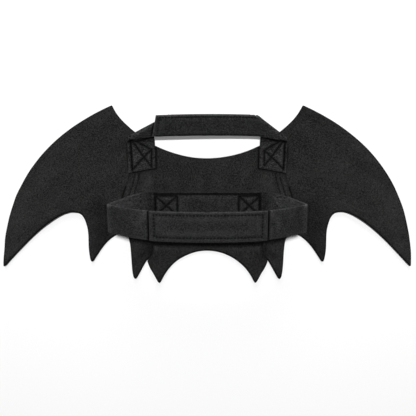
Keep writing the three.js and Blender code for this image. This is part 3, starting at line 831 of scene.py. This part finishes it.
for flip, end_x in ((False, FLAP_LENGTH / 2 - FLAP_SHIFT), (True, FLAP_LENGTH / 2 + FLAP_SHIFT)):
    starts = {"flap": along_roof(end_x), "fold": along_roof(BELLY_SPREAD / 2)}
    spot = lambda start, s, t: (belly_end - starts[start] - s if flip else starts[start] + s, t)
    for a, b, height, width in FLAP_CREASES:
        belly.crease(spot("flap", *a), spot("flap", *b), height, width)
    # The flap's end casts a painted shadow line, pressed in a shallow channel.
    flap_end_shadow = line(*(spot("flap", FLAP_SHADOW_OFFSET, t) for t in FLAP_SHADOW_ENDS))
    belly.press([flap_end_shadow], UNDER, 0.15, width=1.5, strength=1.0)
    for face, start, a, b, width, amount in LIGHT_AND_SHADE_STROKES:
        belly.brush(face, spot(start, *a), spot(start, *b), width, amount)
# Faint painted shade over the middle of the sewn part.
belly.brush(UPPER, (belly_middle - 50, 15), (belly_middle + 50, 15), 24.0, -0.08)

# %% Belly strap speckles
SPECKLE_SEED, SPECKLE_STEP, SPECKLE, SPECKLE_START = 23, 4, 0.45, 14
tuft_rows = len(belly.along) // SPECKLE_STEP + 1
tufts = np.random.default_rng(SPECKLE_SEED).standard_normal((tuft_rows, len(belly.across)))
steep = (np.abs(belly.along - belly_middle) > BELLY_SEAT / 2 + SPECKLE_START) & ~roof
tufts = np.repeat(tufts, SPECKLE_STEP, axis=0)[:len(belly.along)]
belly.painted_light_and_speckle[UPPER] += SPECKLE * tufts * steep[:, None]
print("speckles on", int(steep.sum()), "of", len(steep), "rows of the belly strap")

# %% Belly strap mesh
belly.press(belly_rows, depth=0.9, puff=0.5, width=1.1, strength=0.88, dash=0.98)
# The row along the upper edge and the outer side of each box get painted shade over their stitches'
# darkness, in the groove at the edge and where the strap turns up from the body.
belly.press([belly_rows[-1], belly_rows[3], belly_rows[9]], depth=0.0, width=1.35, strength=0.98)
belly_strap = belly.build("belly_strap_felt")

# %% [markdown]
# ## The closure flap
#
# The flap lies over the two ends of the belly strap. Its tape is sewn on from the inside, which
# leaves a dashed box with rounded corners on the outer face.

# %% Closure flap
def loop_height(x):
    over = half_loop[half_loop[:, 1] > CREASE_HEIGHT]
    return np.interp(np.abs(x), over[::-1, 0], over[::-1, 1])


flap_x = np.linspace(FLAP_SHIFT - FLAP_LENGTH / 2, FLAP_SHIFT + FLAP_LENGTH / 2, 120)
flap_line = np.stack([flap_x, loop_height(flap_x)], 1)
outer, inner, right = loop_stations(flap_line[::-1], STRAP / 2 + GAP + FLAP / 2)
flap = Strap(outer, inner, right, FLAP, step=0.5, rim_light=0.6)
flap_end = flap.along[-1]


def rounded_box(s0, t0, s1, t1, radius):
    corners = [(s1 - radius, t1 - radius, 0), (s0 + radius, t1 - radius, 90),
               (s0 + radius, t0 + radius, 180), (s1 - radius, t0 + radius, 270)]
    turns = []
    for s, t, start in corners:
        angle = np.radians(np.linspace(start, start + 90, 9))
        turns.append(np.stack([s + radius * np.cos(angle), t + radius * np.sin(angle)], 1))
    loop = np.vstack([*turns, turns[0][:1]])
    return at_lengths(loop, np.arange(0, run_length(loop)[-1], 0.5))


BOX_END, BOX_TOP, BOX_BOTTOM, BOX_RADIUS = 5.2, 3.0, 25.6, 1.2
flap_rows = [rounded_box(BOX_END, BOX_TOP, flap_end - BOX_END, BOX_BOTTOM, BOX_RADIUS)]
flap.press(flap_rows, depth=0.3, puff=0.4, strength=0.1, dash=1.0, gaps=0.25)
closure = flap.build("closure_flap_felt")

# %% [markdown]
# ## The neck straps
#
# Each neck strap starts as a tab sewn on the shoulder. Above the sewn part it bends up, and is
# then folded over slantwise, as one folds a paper strip to turn a corner, so that it runs across
# to the other shoulder. The short strap lies below and the long one above. We work out the strap
# at the left shoulder, and mirror the whole strip for the other one.

# %% Neck strap stations
TAB_OUTER = -(HALF_SHOULDER - TAB_INSET)
TAB_INNER = TAB_OUTER + STRAP_WIDTH
HINGE_Y = SIDE_LENGTH - TAB_TOP
TAB_Z = FELT + GAP + STRAP / 2
ARC = TAB_BEND * TAB_SLOPE


def bent(x, y, lift):
    """Carries a spot of the flat tab to where the tab's slope takes it."""
    beyond = y - HINGE_Y
    angle = min(max(beyond / TAB_BEND, 0), TAB_SLOPE)
    rest = beyond if beyond < 0 else max(beyond - ARC, 0)
    along = TAB_BEND * math.sin(angle) + rest * math.cos(angle)
    up = TAB_BEND * (1 - math.cos(angle)) + rest * math.sin(angle)
    normal = np.array([0, -math.sin(angle), math.cos(angle)])
    return np.array([x, HINGE_Y + along, TAB_Z + up]) + lift * normal, normal


def band_bow(x):
    return BAND_BOW * max(0, 1 - (x / BAND_START) ** 2)


def fold_ends(fold):
    inner_x = TAB_INNER + fold["lean"]
    return HINGE_Y + fold["start"], inner_x, HINGE_Y + BAND_TOP + band_bow(inner_x) - FOLD_TURN


def tab_station(outer_y, inner_x, inner_y, lift=0.0, tuck=0.0):
    outer, n0 = bent(TAB_OUTER + tuck, outer_y, lift)
    inner, n1 = bent(inner_x, inner_y, lift)
    facing = n0 + n1
    return outer, inner, facing / np.linalg.norm(facing)


TAB_ROWS, BEND_ROWS, SLOPE_ROWS, FOLD_ROWS, BAND_ROWS = 32, 8, 26, 14, 90


def tab_stations(fold):
    end_y = HINGE_Y - TAB_LENGTH
    fold_y, inner_x, inner_y = fold_ends(fold)
    mix = lambda a, b, k: a + (b - a) * k
    stations = []
    for k in np.linspace(0, 1, TAB_ROWS, endpoint=False):
        stations.append(tab_station(mix(end_y, HINGE_Y, k), TAB_INNER, mix(end_y + TAB_SLANT, HINGE_Y, k)))
    for k in np.linspace(0, 1, BEND_ROWS, endpoint=False):
        stations.append(tab_station(HINGE_Y + ARC * k, TAB_INNER, HINGE_Y + ARC * k))
    for k in np.linspace(0, 1, SLOPE_ROWS):
        lean = fold["lean"] * k**3
        low, top = mix(HINGE_Y + ARC, fold_y, k), mix(HINGE_Y + ARC, inner_y, k)
        stations.append(tab_station(low, TAB_INNER + lean, top, tuck=FOLD_TUCK * k))
    return stations


def fold_stations(fold):
    """Half a turn round the slanting fold line."""
    fold_y, inner_x, inner_y = fold_ends(fold)
    outer, inner, facing = tab_station(fold_y, inner_x, inner_y, tuck=FOLD_TUCK)
    along = (inner - outer) / np.linalg.norm(inner - outer)
    normal = bent(inner_x, inner_y, 0)[1]
    away = np.cross(normal, along)
    stations = []
    for turn in np.linspace(0, math.pi, FOLD_ROWS)[1:]:
        shift = away * LAYER / 2 * math.sin(turn) + normal * LAYER / 2 * (1 - math.cos(turn))
        stations.append((outer + shift, inner + shift, normal * math.cos(turn) - away * math.sin(turn)))
    return stations


def band_edge(up, part):
    x = BAND_START * (2 * part - 1)
    return bent(x, HINGE_Y + up + band_bow(x), LAYER)


def band_station(low_part, top_part, layers_at):
    """A station of the band between the shoulders, moved up or down by its number of layers."""
    outer, _ = band_edge(BAND_UP, low_part)
    inner, slope = band_edge(BAND_TOP, top_part)
    outer[2] += layers_at(low_part) * LAYER / slope[2]
    inner[2] += layers_at(top_part) * LAYER / slope[2]
    return outer, inner, -slope


def neck_stations(fold, last_low, last_top, layers_at):
    fold_y, inner_x, inner_y = fold_ends(fold)
    folded = tab_station(fold_y, inner_x, inner_y, LAYER, FOLD_TUCK)
    stations = tab_stations(fold) + fold_stations(fold)
    first_top = (inner_x + 1 + BAND_START) / (2 * BAND_START)
    first = band_station(0, first_top, layers_at)
    for k in np.linspace(0, 1, FOLD_ROWS)[1:-1]:
        stations.append(tuple(folded[i] * (1 - k) + first[i] * k if i < 2 else first[2] for i in range(3)))
    for k in np.linspace(0, 1, BAND_ROWS):
        stations.append(band_station(last_low * k, first_top + (last_top - first_top) * k, layers_at))
    return stations


# %% Neck strap grids
class NeckStrap(Strap):
    """A neck strap keeps its stations as rows, because its two edges differ in length."""

    def __init__(self, fold, last_low, last_top, layers_at, side):
        stations = neck_stations(fold, last_low, last_top, layers_at)
        outer, inner, facing = (np.array([s[k] for s in stations]) for k in range(3))
        for table in (outer, inner, facing):
            table[:, 0] *= side
        super().__init__(outer, inner, facing, STRAP, step=0.55)
        flat = self.grid.reshape(-1, 3)
        lift = lap_step(np.abs(flat[:, 0]) + 0.75 * LAP_RAMP, flat[:, 1])
        self.grid[:, :, 2] += lift.reshape(self.edge.shape)

    def row_at(self, x, y):
        """Distances along and across the strap of a spot (x, y) on its sewn tab."""
        share = (abs(x) - abs(TAB_OUTER)) / -STRAP_WIDTH
        end_y = HINGE_Y - TAB_LENGTH + TAB_SLANT * share
        part = (y - end_y) / (HINGE_Y - end_y)
        return part * (TAB_LENGTH - TAB_SLANT / 2), share * STRAP_WIDTH


reach = (BAND_START + SHORT_STRAP_REACH) / (2 * BAND_START)
short = NeckStrap(SHORT_FOLD, reach, reach, lambda part: -float(smooth(part, 0, 1)), 1)
low_end = 1 + (LONG_STRAP_PAST + CORNER_PULL) / (2 * BAND_START)
top_end = low_end - (LONG_STRAP_END_SLANT + CORNER_PULL) / (2 * BAND_START)
long = NeckStrap(LONG_FOLD, low_end, top_end, lambda part: float(smooth(part, 0, 1)), -1)
print("neck straps are", round(short.along[-1], 1), "and", round(long.along[-1], 1), "mm long")

# %% [markdown]
# The tabs are sewn with a crossed box whose upper side follows the body's neck curve, because
# the needle has to stay on the body. The band has a row of stitches along each long edge and
# across its end, from the tape on its inner face.

# %% Neck strap sewing
SHORT_BOX = [(-84.9, 144.4), (-62.1, 130.2), (-62.5, 110.8), (-83.7, 107.4)]
LONG_BOX = [(85.9, 144.4), (63.3, 129.2), (63.9, 112.0), (85.1, 108.2)]
FOLD_SHADOW = (5.4, 7.0)


def tab_box(strap, corners):
    """A crossed box on a tab. Its lower side is left out, because it shows only as the tab's end."""
    top, inner_side, _, outer_side, *cross = crossed_box([strap.row_at(*corner) for corner in corners])
    return [top, inner_side, outer_side, *cross]


short_rows = tab_box(short, SHORT_BOX)
long_rows = tab_box(long, LONG_BOX)
for strap, box_rows in ((short, short_rows), (long, long_rows)):
    strap.press(box_rows, depth=1.0, puff=0.6, width=1.1, strength=0.75, dash=0.98)
    # Painted shade along each box's outer side, which lies in the tab's own shadow.
    strap.press([box_rows[2]], depth=0.0, width=1.35, strength=0.98)
    # Painted shadow under the lower edge of the folded-over layer.
    shaded = [strap.row_at(x, HINGE_Y + up) for x, up in zip((TAB_OUTER, TAB_INNER), FOLD_SHADOW)]
    strap.press([line(*shaded)], depth=0.0, width=1.7, strength=0.98)

# %% Neck strap tape
TAPE_LENGTH, TAPE_END, TAPE_TOP, TAPE_BOTTOM, END_SHADE = 112, 4.6, 2.2, 27.6, 0.8
long_end = long.along[-1]
tape_start, tape_end = long_end - TAPE_LENGTH, long_end - TAPE_END
tape_corners = [(tape_start, TAPE_TOP), (tape_end, TAPE_TOP), (tape_end, TAPE_BOTTOM),
                (tape_start, TAPE_BOTTOM)]
long_tape = [line(a, b) for a, b in zip(tape_corners, tape_corners[1:])]
long.press(long_tape, face=UNDER, depth=0.25, puff=0.3, strength=0.0, dash=0.9, gaps=0.4)
# Painted shadow of the long strap's end on the short strap below it.
end_run = long.grid[-1] - long.grid[-2]
end_run /= np.linalg.norm(end_run, axis=1, keepdims=True)
end_shadow = long.grid[-1] + long.normal[-1] * (LAYER - STRAP / 2) + END_SHADE * end_run
short.paint_shadow(UNDER, end_shadow, 1.3, 0.95)
# Painted highlight along the long strap's end.
long.brush(UNDER, (long_end - 0.4, 0), (long_end - 0.4, 30), 0.9, 0.5)
# Painted light over the bands of both neck straps.
for strap in (short, long):
    strap.brush(UNDER, (60, 15), (strap.along[-1], 15), 60, 0.3)
neck_short = short.build("neck_strap_felt_left")
neck_long = long.build("neck_strap_felt_right")

# %% [markdown]
# ## Stitches
#
# One stitch is a short bent piece of thread. Geometry Nodes set hundreds of them along the
# sewing rows: the rows come in as plain edges that carry the cloth's normal, are cut to equal
# lengths, and get one stitch on each point, turned along the row and up from the cloth. A fixed
# seed turns each one slightly, as a machine under a thumb would.

# %% Stitch tree
def link(tree, source, target):
    tree.links.new(source, target)


STITCH_DIP, STITCH_RISE, SWAY = -0.00022, 0.00042, (0.1, 0.08, 0.16)


def stitch_tree(material):
    tree = bpy.data.node_groups.new("sewing row", "GeometryNodeTree")
    face = tree.interface
    face.new_socket("Geometry", in_out="INPUT", socket_type="NodeSocketGeometry")
    for label, value in (("Pitch", 0.003), ("Length", 0.0021), ("Thread", 0.0003)):
        socket = face.new_socket(label, in_out="INPUT", socket_type="NodeSocketFloat")
        socket.default_value = value
    face.new_socket("Seed", in_out="INPUT", socket_type="NodeSocketInt").default_value = 3
    face.new_socket("Geometry", in_out="OUTPUT", socket_type="NodeSocketGeometry")
    add = tree.nodes.new
    given, out = add("NodeGroupInput"), add("NodeGroupOutput")
    to_curve, resample = add("GeometryNodeMeshToCurve"), add("GeometryNodeResampleCurve")
    resample.mode = "LENGTH"
    link(tree, given.outputs["Geometry"], to_curve.inputs["Mesh"])
    link(tree, to_curve.outputs["Curve"], resample.inputs["Curve"])
    link(tree, given.outputs["Pitch"], resample.inputs["Length"])
    half, ends = add("ShaderNodeMath"), []
    half.operation = "MULTIPLY"
    half.inputs[1].default_value = 0.5
    link(tree, given.outputs["Length"], half.inputs[0])
    arc, ring = add("GeometryNodeCurveQuadraticBezier"), add("GeometryNodeCurvePrimitiveCircle")
    thread = add("GeometryNodeCurveToMesh")
    arc.inputs["Resolution"].default_value = 5
    knots = (("Start", -1, STITCH_DIP), ("Middle", 0, STITCH_RISE), ("End", 1, STITCH_DIP))
    for label, sign, rise in knots:
        spot, times = add("ShaderNodeCombineXYZ"), add("ShaderNodeMath")
        times.operation = "MULTIPLY"
        times.inputs[1].default_value = sign
        link(tree, half.outputs[0], times.inputs[0])
        link(tree, times.outputs[0], spot.inputs["X"])
        spot.inputs["Z"].default_value = rise
        link(tree, spot.outputs[0], arc.inputs[label])
    ring.inputs["Resolution"].default_value = 6
    link(tree, given.outputs["Thread"], ring.inputs["Radius"])
    link(tree, arc.outputs[0], thread.inputs["Curve"])
    link(tree, ring.outputs[0], thread.inputs["Profile Curve"])
    thread.inputs["Fill Caps"].default_value = True
    place, turn = add("GeometryNodeInstanceOnPoints"), add("FunctionNodeAxesToRotation")
    tangent, up = add("GeometryNodeInputTangent"), add("GeometryNodeInputNamedAttribute")
    up.data_type = "FLOAT_VECTOR"
    up.inputs["Name"].default_value = "up"
    turn.primary_axis, turn.secondary_axis = "Z", "X"
    link(tree, up.outputs["Attribute"], turn.inputs[0])
    link(tree, tangent.outputs[0], turn.inputs[1])
    sway, wobble = add("FunctionNodeRandomValue"), add("FunctionNodeRotateRotation")
    euler = add("FunctionNodeEulerToRotation")
    sway.data_type = "FLOAT_VECTOR"
    sway.inputs["Min"].default_value = [-angle for angle in SWAY]
    sway.inputs["Max"].default_value = SWAY
    link(tree, given.outputs["Seed"], sway.inputs["Seed"])
    wobble.rotation_space = "LOCAL"
    link(tree, sway.outputs[0], euler.inputs[0])
    link(tree, turn.outputs[0], wobble.inputs[0])
    link(tree, euler.outputs[0], wobble.inputs[1])
    link(tree, resample.outputs[0], place.inputs["Points"])
    link(tree, thread.outputs[0], place.inputs["Instance"])
    link(tree, wobble.outputs[0], place.inputs["Rotation"])
    real, soft = add("GeometryNodeRealizeInstances"), add("GeometryNodeSetShadeSmooth")
    paint = add("GeometryNodeSetMaterial")
    paint.inputs["Material"].default_value = material
    link(tree, place.outputs[0], real.inputs[0])
    link(tree, real.outputs[0], soft.inputs[0])
    link(tree, soft.outputs[0], paint.inputs["Geometry"])
    link(tree, paint.outputs[0], out.inputs[0])
    return tree


# %% Sewing function
STITCH_LIFT = 0.12


def apply_tree(piece, tree, **values):
    """Runs a Geometry Nodes tree on a piece and keeps its result as a plain mesh."""
    modifier = piece.modifiers.new("made", "NODES")
    modifier.node_group = tree
    sockets = {item.name: item.identifier for item in tree.interface.items_tree if item.in_out == "INPUT"}
    for label, value in values.items():
        modifier[sockets[label]] = value
    graph = bpy.context.evaluated_depsgraph_get()
    made = bpy.data.meshes.new_from_object(piece.evaluated_get(graph))
    piece.modifiers.remove(modifier)
    piece.data = made
    made.name = piece.name
    return piece


def sew(name, runs, tree, **values):
    """Stitches along runs of (points, normals), in the pattern's millimetres."""
    points, normals, edges, start = [], [], [], 0
    for spots, ups in runs:
        points.append(spots)
        normals.append(ups)
        edges += [(start + i, start + i + 1) for i in range(len(spots) - 1)]
        start += len(spots)
    mesh = bpy.data.meshes.new(name)
    mesh.from_pydata(((np.vstack(points) + (0, SHIFT_Y, 0)) * MM).tolist(), edges, [])
    up = mesh.attributes.new("up", "FLOAT_VECTOR", "POINT")
    up.data.foreach_set("vector", np.vstack(normals).astype(float).ravel())
    piece = bpy.data.objects.new(name, mesh)
    bpy.context.collection.objects.link(piece)
    apply_tree(piece, tree, **values)
    print(name, len(piece.data.polygons), "faces")
    return piece


def strap_runs(strap, rows, face=UPPER):
    lift = strap.thickness / 2 + STITCH_LIFT
    runs = []
    for row in rows:
        s, t = row.T
        normal = face * strap.read(strap.normal, s, t)
        raised = lift + strap.read(strap.relief[face], s, t)
        runs.append((strap.read(strap.grid, s, t) + normal * raised[:, None], normal))
    return runs


# %% [markdown]
# ## Materials
#
# Felt has no weave. Its look comes from short fibres that lie every way, a little more along the direction
# in which it was rolled. Three kinds of noise stand for that: cloudy patches, small flecks stretched along
# the grain, and thin curled fibres that catch the light. The two numbers stored on each point do the rest:
# one adds painted light along edges and folds and painted shade along the sheets' cut edges, and the other
# darkens the felt in seams and paints shade where parts lie on each other and along edges that face away
# from the light. The same noise raises the surface a little.

# %% Felt material
# Noise has little contrast in the planes of its lattice, so a flat pattern is moved off them.
OFF_GRID = 0.37
CLOUD_SIZE, CLOUD_CONTRAST, FUZZ_LIGHT, RIM_LIGHT, BASE_TONE = 14.0, 0.5, 0.28, 0.9, 0.34
SEAM_AND_SHADE_COLOR = (0.0008, 0.0008, 0.0009, 1)


def felt_material(name, dark, light, grain, by_uv=False, stretch=2.4, contrast=3.4, size=0.6):
    material = bpy.data.materials.new(name)
    material.use_nodes = True
    tree = material.node_tree
    shader = tree.nodes["Principled BSDF"]
    add = tree.nodes.new
    source, turn = add("ShaderNodeTexCoord"), add("ShaderNodeMapping")
    turn.vector_type = "POINT"
    turn.inputs["Rotation"].default_value = (0, 0, -math.radians(grain))
    scale = 100.0 if by_uv else 1000.0
    squeeze = add("ShaderNodeMapping")
    squeeze.inputs["Scale"].default_value = (scale / stretch, scale, scale)
    squeeze.inputs["Location"].default_value = (0, 0, OFF_GRID)
    link(tree, source.outputs["UV" if by_uv else "Object"], turn.inputs["Vector"])
    link(tree, turn.outputs[0], squeeze.inputs["Vector"])

    def noise(size, detail, roughness, distortion=0.0):
        node = add("ShaderNodeTexNoise")
        node.inputs["Scale"].default_value = 1 / size
        node.inputs["Detail"].default_value = detail
        node.inputs["Roughness"].default_value = roughness
        node.inputs["Distortion"].default_value = distortion
        link(tree, squeeze.outputs[0], node.inputs["Vector"])
        return node.outputs["Fac"]

    def math_node(operation, a, b, clamp=False):
        node = add("ShaderNodeMath")
        node.operation = operation
        node.use_clamp = clamp
        for socket, value in zip(node.inputs, (a, b)):
            if isinstance(value, (int, float)):
                socket.default_value = value
            else:
                link(tree, value, socket)
        return node.outputs[0]

    def threads(size, distortion, width):
        ridge = math_node("ABSOLUTE", math_node("SUBTRACT", noise(size, 1.0, 0.5, distortion), 0.5), 0)
        return math_node("SUBTRACT", 1.0, math_node("DIVIDE", ridge, width), clamp=True)

    fleck = noise(size, 2.0, 0.6)
    cloud = noise(CLOUD_SIZE, 2.0, 0.5)
    fuzz = math_node("MAXIMUM", threads(1.9, 1.5, 0.03), threads(3.1, 2.5, 0.018))
    tone = math_node("ADD", math_node("MULTIPLY", math_node("SUBTRACT", fleck, 0.5), contrast),
                     math_node("MULTIPLY", math_node("SUBTRACT", cloud, 0.5), CLOUD_CONTRAST))
    tone = math_node("ADD", tone, math_node("MULTIPLY", fuzz, FUZZ_LIGHT))
    # The rim number adds painted light and painted shade to the tone; the seam number mixes in near-black
    # for stitched rows and for painted shade.
    rim, seam = add("ShaderNodeAttribute"), add("ShaderNodeAttribute")
    rim.attribute_name, seam.attribute_name = "rim", "seam"
    tone = math_node("ADD", tone, math_node("MULTIPLY", rim.outputs["Fac"], RIM_LIGHT))
    tone = math_node("MAXIMUM", math_node("ADD", tone, BASE_TONE), 0)
    ramp = add("ShaderNodeMix")
    ramp.data_type = "RGBA"
    ramp.clamp_factor = False
    ramp.inputs["A"].default_value = (*dark, 1)
    ramp.inputs["B"].default_value = (*light, 1)
    link(tree, tone, ramp.inputs["Factor"])
    seams_and_shade = add("ShaderNodeMix")
    seams_and_shade.data_type = "RGBA"
    seams_and_shade.inputs["B"].default_value = SEAM_AND_SHADE_COLOR
    link(tree, seam.outputs["Fac"], seams_and_shade.inputs["Factor"])
    link(tree, ramp.outputs["Result"], seams_and_shade.inputs["A"])
    link(tree, seams_and_shade.outputs["Result"], shader.inputs["Base Color"])
    bump = add("ShaderNodeBump")
    bump.inputs["Strength"].default_value = 0.55
    bump.inputs["Distance"].default_value = 0.0005
    height = math_node("ADD", math_node("MULTIPLY", fleck, 0.8), math_node("MULTIPLY", fuzz, 0.35))
    link(tree, height, bump.inputs["Height"])
    link(tree, bump.outputs[0], shader.inputs["Normal"])
    shader.inputs["Roughness"].default_value = 0.92
    shader.inputs["Specular IOR Level"].default_value = 0.03
    shader.inputs["Sheen Weight"].default_value = 0.02
    shader.inputs["Sheen Roughness"].default_value = 0.5
    shader.inputs["Sheen Tint"].default_value = (0.8, 0.8, 0.85, 1)
    return material


FELT_DARK, FELT_LIGHT = (0.0046, 0.0046, 0.0046), (0.0345, 0.0345, 0.0343)
body_finish = felt_material("black felt body", FELT_DARK, FELT_LIGHT, 80)
left_finish = felt_material("black felt left wing", FELT_DARK, FELT_LIGHT, 32)
right_finish = felt_material("black felt right wing", FELT_DARK, FELT_LIGHT, -32)
STRAP_DARK, STRAP_LIGHT = (0.0048, 0.0048, 0.005), (0.0375, 0.0375, 0.0385)


def strap_felt(name, grain, stretch, contrast, size):
    return felt_material(name, STRAP_DARK, STRAP_LIGHT, grain, True, stretch, contrast, size)


flap_finish = strap_felt("black felt flap", grain=8, stretch=1.3, contrast=2.8, size=0.62)
strap_finish = strap_felt("black felt strap", grain=8, stretch=1.5, contrast=3.5, size=0.65)
neck_finish = strap_felt("black felt neck strap", grain=90, stretch=1.5, contrast=4.9, size=0.7)
print("felt finishes:", [material.name for material in bpy.data.materials if "felt" in material.name])

# %% Thread material
thread_finish = bpy.data.materials.new("black sewing thread")
thread_finish.use_nodes = True
thread_tree = thread_finish.node_tree
thread_shader = thread_tree.nodes["Principled BSDF"]
thread_place, thread_wave, thread_ramp, thread_bump = (
    thread_tree.nodes.new(kind)
    for kind in ("ShaderNodeTexCoord", "ShaderNodeTexNoise", "ShaderNodeMix", "ShaderNodeBump")
)
thread_wave.inputs["Scale"].default_value = 5000
link(thread_tree, thread_place.outputs["Object"], thread_wave.inputs["Vector"])
thread_ramp.data_type = "RGBA"
thread_ramp.inputs["A"].default_value = (0.001, 0.001, 0.0012, 1)
thread_ramp.inputs["B"].default_value = (0.004, 0.004, 0.0045, 1)
link(thread_tree, thread_wave.outputs["Fac"], thread_ramp.inputs["Factor"])
link(thread_tree, thread_ramp.outputs["Result"], thread_shader.inputs["Base Color"])
thread_bump.inputs["Distance"].default_value = 0.00008
link(thread_tree, thread_wave.outputs["Fac"], thread_bump.inputs["Height"])
link(thread_tree, thread_bump.outputs[0], thread_shader.inputs["Normal"])
thread_shader.inputs["Roughness"].default_value = 0.7
thread_shader.inputs["Specular IOR Level"].default_value = 0.05

# %% Finish the felt pieces
for piece, finish in ((body, body_finish), (wing_left, left_finish), (wing_right, right_finish),
                      (belly_strap, strap_finish), (closure, flap_finish), (neck_short, neck_finish),
                      (neck_long, neck_finish)):
    piece.data.materials.append(finish)

# %% Sew the rows
row_tree = stitch_tree(thread_finish)
THREAD_RADIUS = 0.00034
sewing = {"Pitch": PITCH * MM, "Length": STITCH * MM, "Thread": THREAD_RADIUS}
belly_stitches = sew("belly_strap_stitches", strap_runs(belly, belly_rows), row_tree, Seed=11, **sewing)
flap_stitches = sew("closure_stitches", strap_runs(flap, flap_rows), row_tree, Seed=12, **sewing)
short_stitches = sew("neck_strap_stitches_left", strap_runs(short, short_rows), row_tree, Seed=13, **sewing)
long_runs = strap_runs(long, long_rows) + strap_runs(long, long_tape, UNDER)
long_stitches = sew("neck_strap_stitches_right", long_runs, row_tree, Seed=14, **sewing)
body_runs = []
for row in body_rows:
    z = body_height(row[:, 0], row[:, 1]) + FELT - CHANNEL_DEPTH + STITCH_LIFT
    body_runs.append((np.c_[row, z], np.tile((0.0, 0.0, 1.0), (len(row), 1))))
body_stitches = sew("body_stitches", body_runs, row_tree, Seed=15, **sewing)

# %% [markdown]
# ## Floor, light and camera
#
# The photograph was taken from almost straight above, on a white floor, with soft light that
# comes from beyond the neck straps. A bright surround, a main lamp and a large low fill lamp
# give that.

# %% Floor
bpy.ops.mesh.primitive_plane_add(size=8, location=(0, 0, 0))
floor = bpy.context.object
floor.name = "floor"
paper = bpy.data.materials.new("white floor")
paper.use_nodes = True
paper.node_tree.nodes["Principled BSDF"].inputs["Base Color"].default_value = (0.9, 0.9, 0.9, 1)
paper.node_tree.nodes["Principled BSDF"].inputs["Roughness"].default_value = 0.9
paper.node_tree.nodes["Principled BSDF"].inputs["Specular IOR Level"].default_value = 0.0
floor.data.materials.append(paper)

# %% Light
world = bpy.data.worlds.new("studio")
world.use_nodes = True
world.node_tree.nodes["Background"].inputs["Color"].default_value = (1, 1, 1, 1)
world.node_tree.nodes["Background"].inputs["Strength"].default_value = 0.11
bpy.context.scene.world = world


def soft_lamp(name, tilt, size, energy, distance=2.6):
    """A round lamp that shines at the middle of the object from beyond the neck straps."""
    lamp_data = bpy.data.lights.new(name, "AREA")
    lamp_data.shape = "DISK"
    lamp_data.size = size
    lamp_data.energy = energy
    lamp = bpy.data.objects.new(name, lamp_data)
    lamp.location = distance * Vector((0, math.sin(tilt), math.cos(tilt)))
    lamp.rotation_mode = "QUATERNION"
    lamp.rotation_quaternion = Vector(lamp.location).to_track_quat("Z", "Y")
    bpy.context.collection.objects.link(lamp)


soft_lamp("main lamp", math.radians(19.8), 0.2, 68)
soft_lamp("fill lamp", math.radians(62), 1.4, 22)
bpy.context.scene.view_settings.view_transform = "Standard"

# %% Camera
CAMERA_TILT, CAMERA_DISTANCE, LENS, SENSOR, SHIFT_X = math.radians(13.7), 0.61, 45.9, 36, -0.0011
target = Vector((0.00127, -0.0129, 0))
away = Vector((0, math.sin(CAMERA_TILT), math.cos(CAMERA_TILT)))
camera_data = bpy.data.cameras.new("camera")
camera_data.lens = LENS
camera_data.sensor_width = SENSOR
camera_data.shift_x = SHIFT_X
camera = bpy.data.objects.new("camera", camera_data)
camera.location = target + CAMERA_DISTANCE * away
camera.rotation_mode = "QUATERNION"
sideways = Vector((1, 0, 0))
camera.rotation_quaternion = Matrix((sideways, away.cross(sideways), away)).transposed().to_quaternion()
bpy.context.collection.objects.link(camera)
bpy.context.scene.camera = camera

# %% [markdown]
# ## Attaching the pieces
#
# Every piece rides with the model's one body and replaces its node.

# %% Attach each piece to the model's body and hide its node
def outline_size(outline):
    width, length = np.ptp(outline, axis=0) * MM
    x, y = outline.T
    area = abs(0.5 * np.sum(x * np.roll(y, -1) - np.roll(x, -1) * y)) * MM * MM
    return {"flat": (float(width), float(length)), "area": float(area)}


def declare(piece, node, finish, stitches, held, rests_on, **size):
    for item in (piece, *stitches):
        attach(item, "root")
    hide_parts(node)


strip = lambda strap: {"flat": (STRAP_WIDTH * MM, float(strap.along[-1]) * MM)}
declare(wing_left, "wing_left", "felt", [], "laid", ["floor"], **outline_size(wing_outline()))
declare(wing_right, "wing_right", "felt", [], "laid", ["floor"], **outline_size(wing_outline()))
declare(body, "body_panel", "felt", [body_stitches], "laid", [wing_left, wing_right],
        **outline_size(body_outline()))
declare(belly_strap, "belly_strap", "strap", [belly_stitches], "folded", [body], **strip(belly))
declare(closure, "belly_closure", "strap", [flap_stitches], "laid", [belly_strap], **strip(flap))
declare(neck_short, "neck_strap_left", "strap", [short_stitches], "folded", [body], **strip(short))
declare(neck_long, "neck_strap_right", "strap", [long_stitches], "folded", [body, neck_short],
        **strip(long))
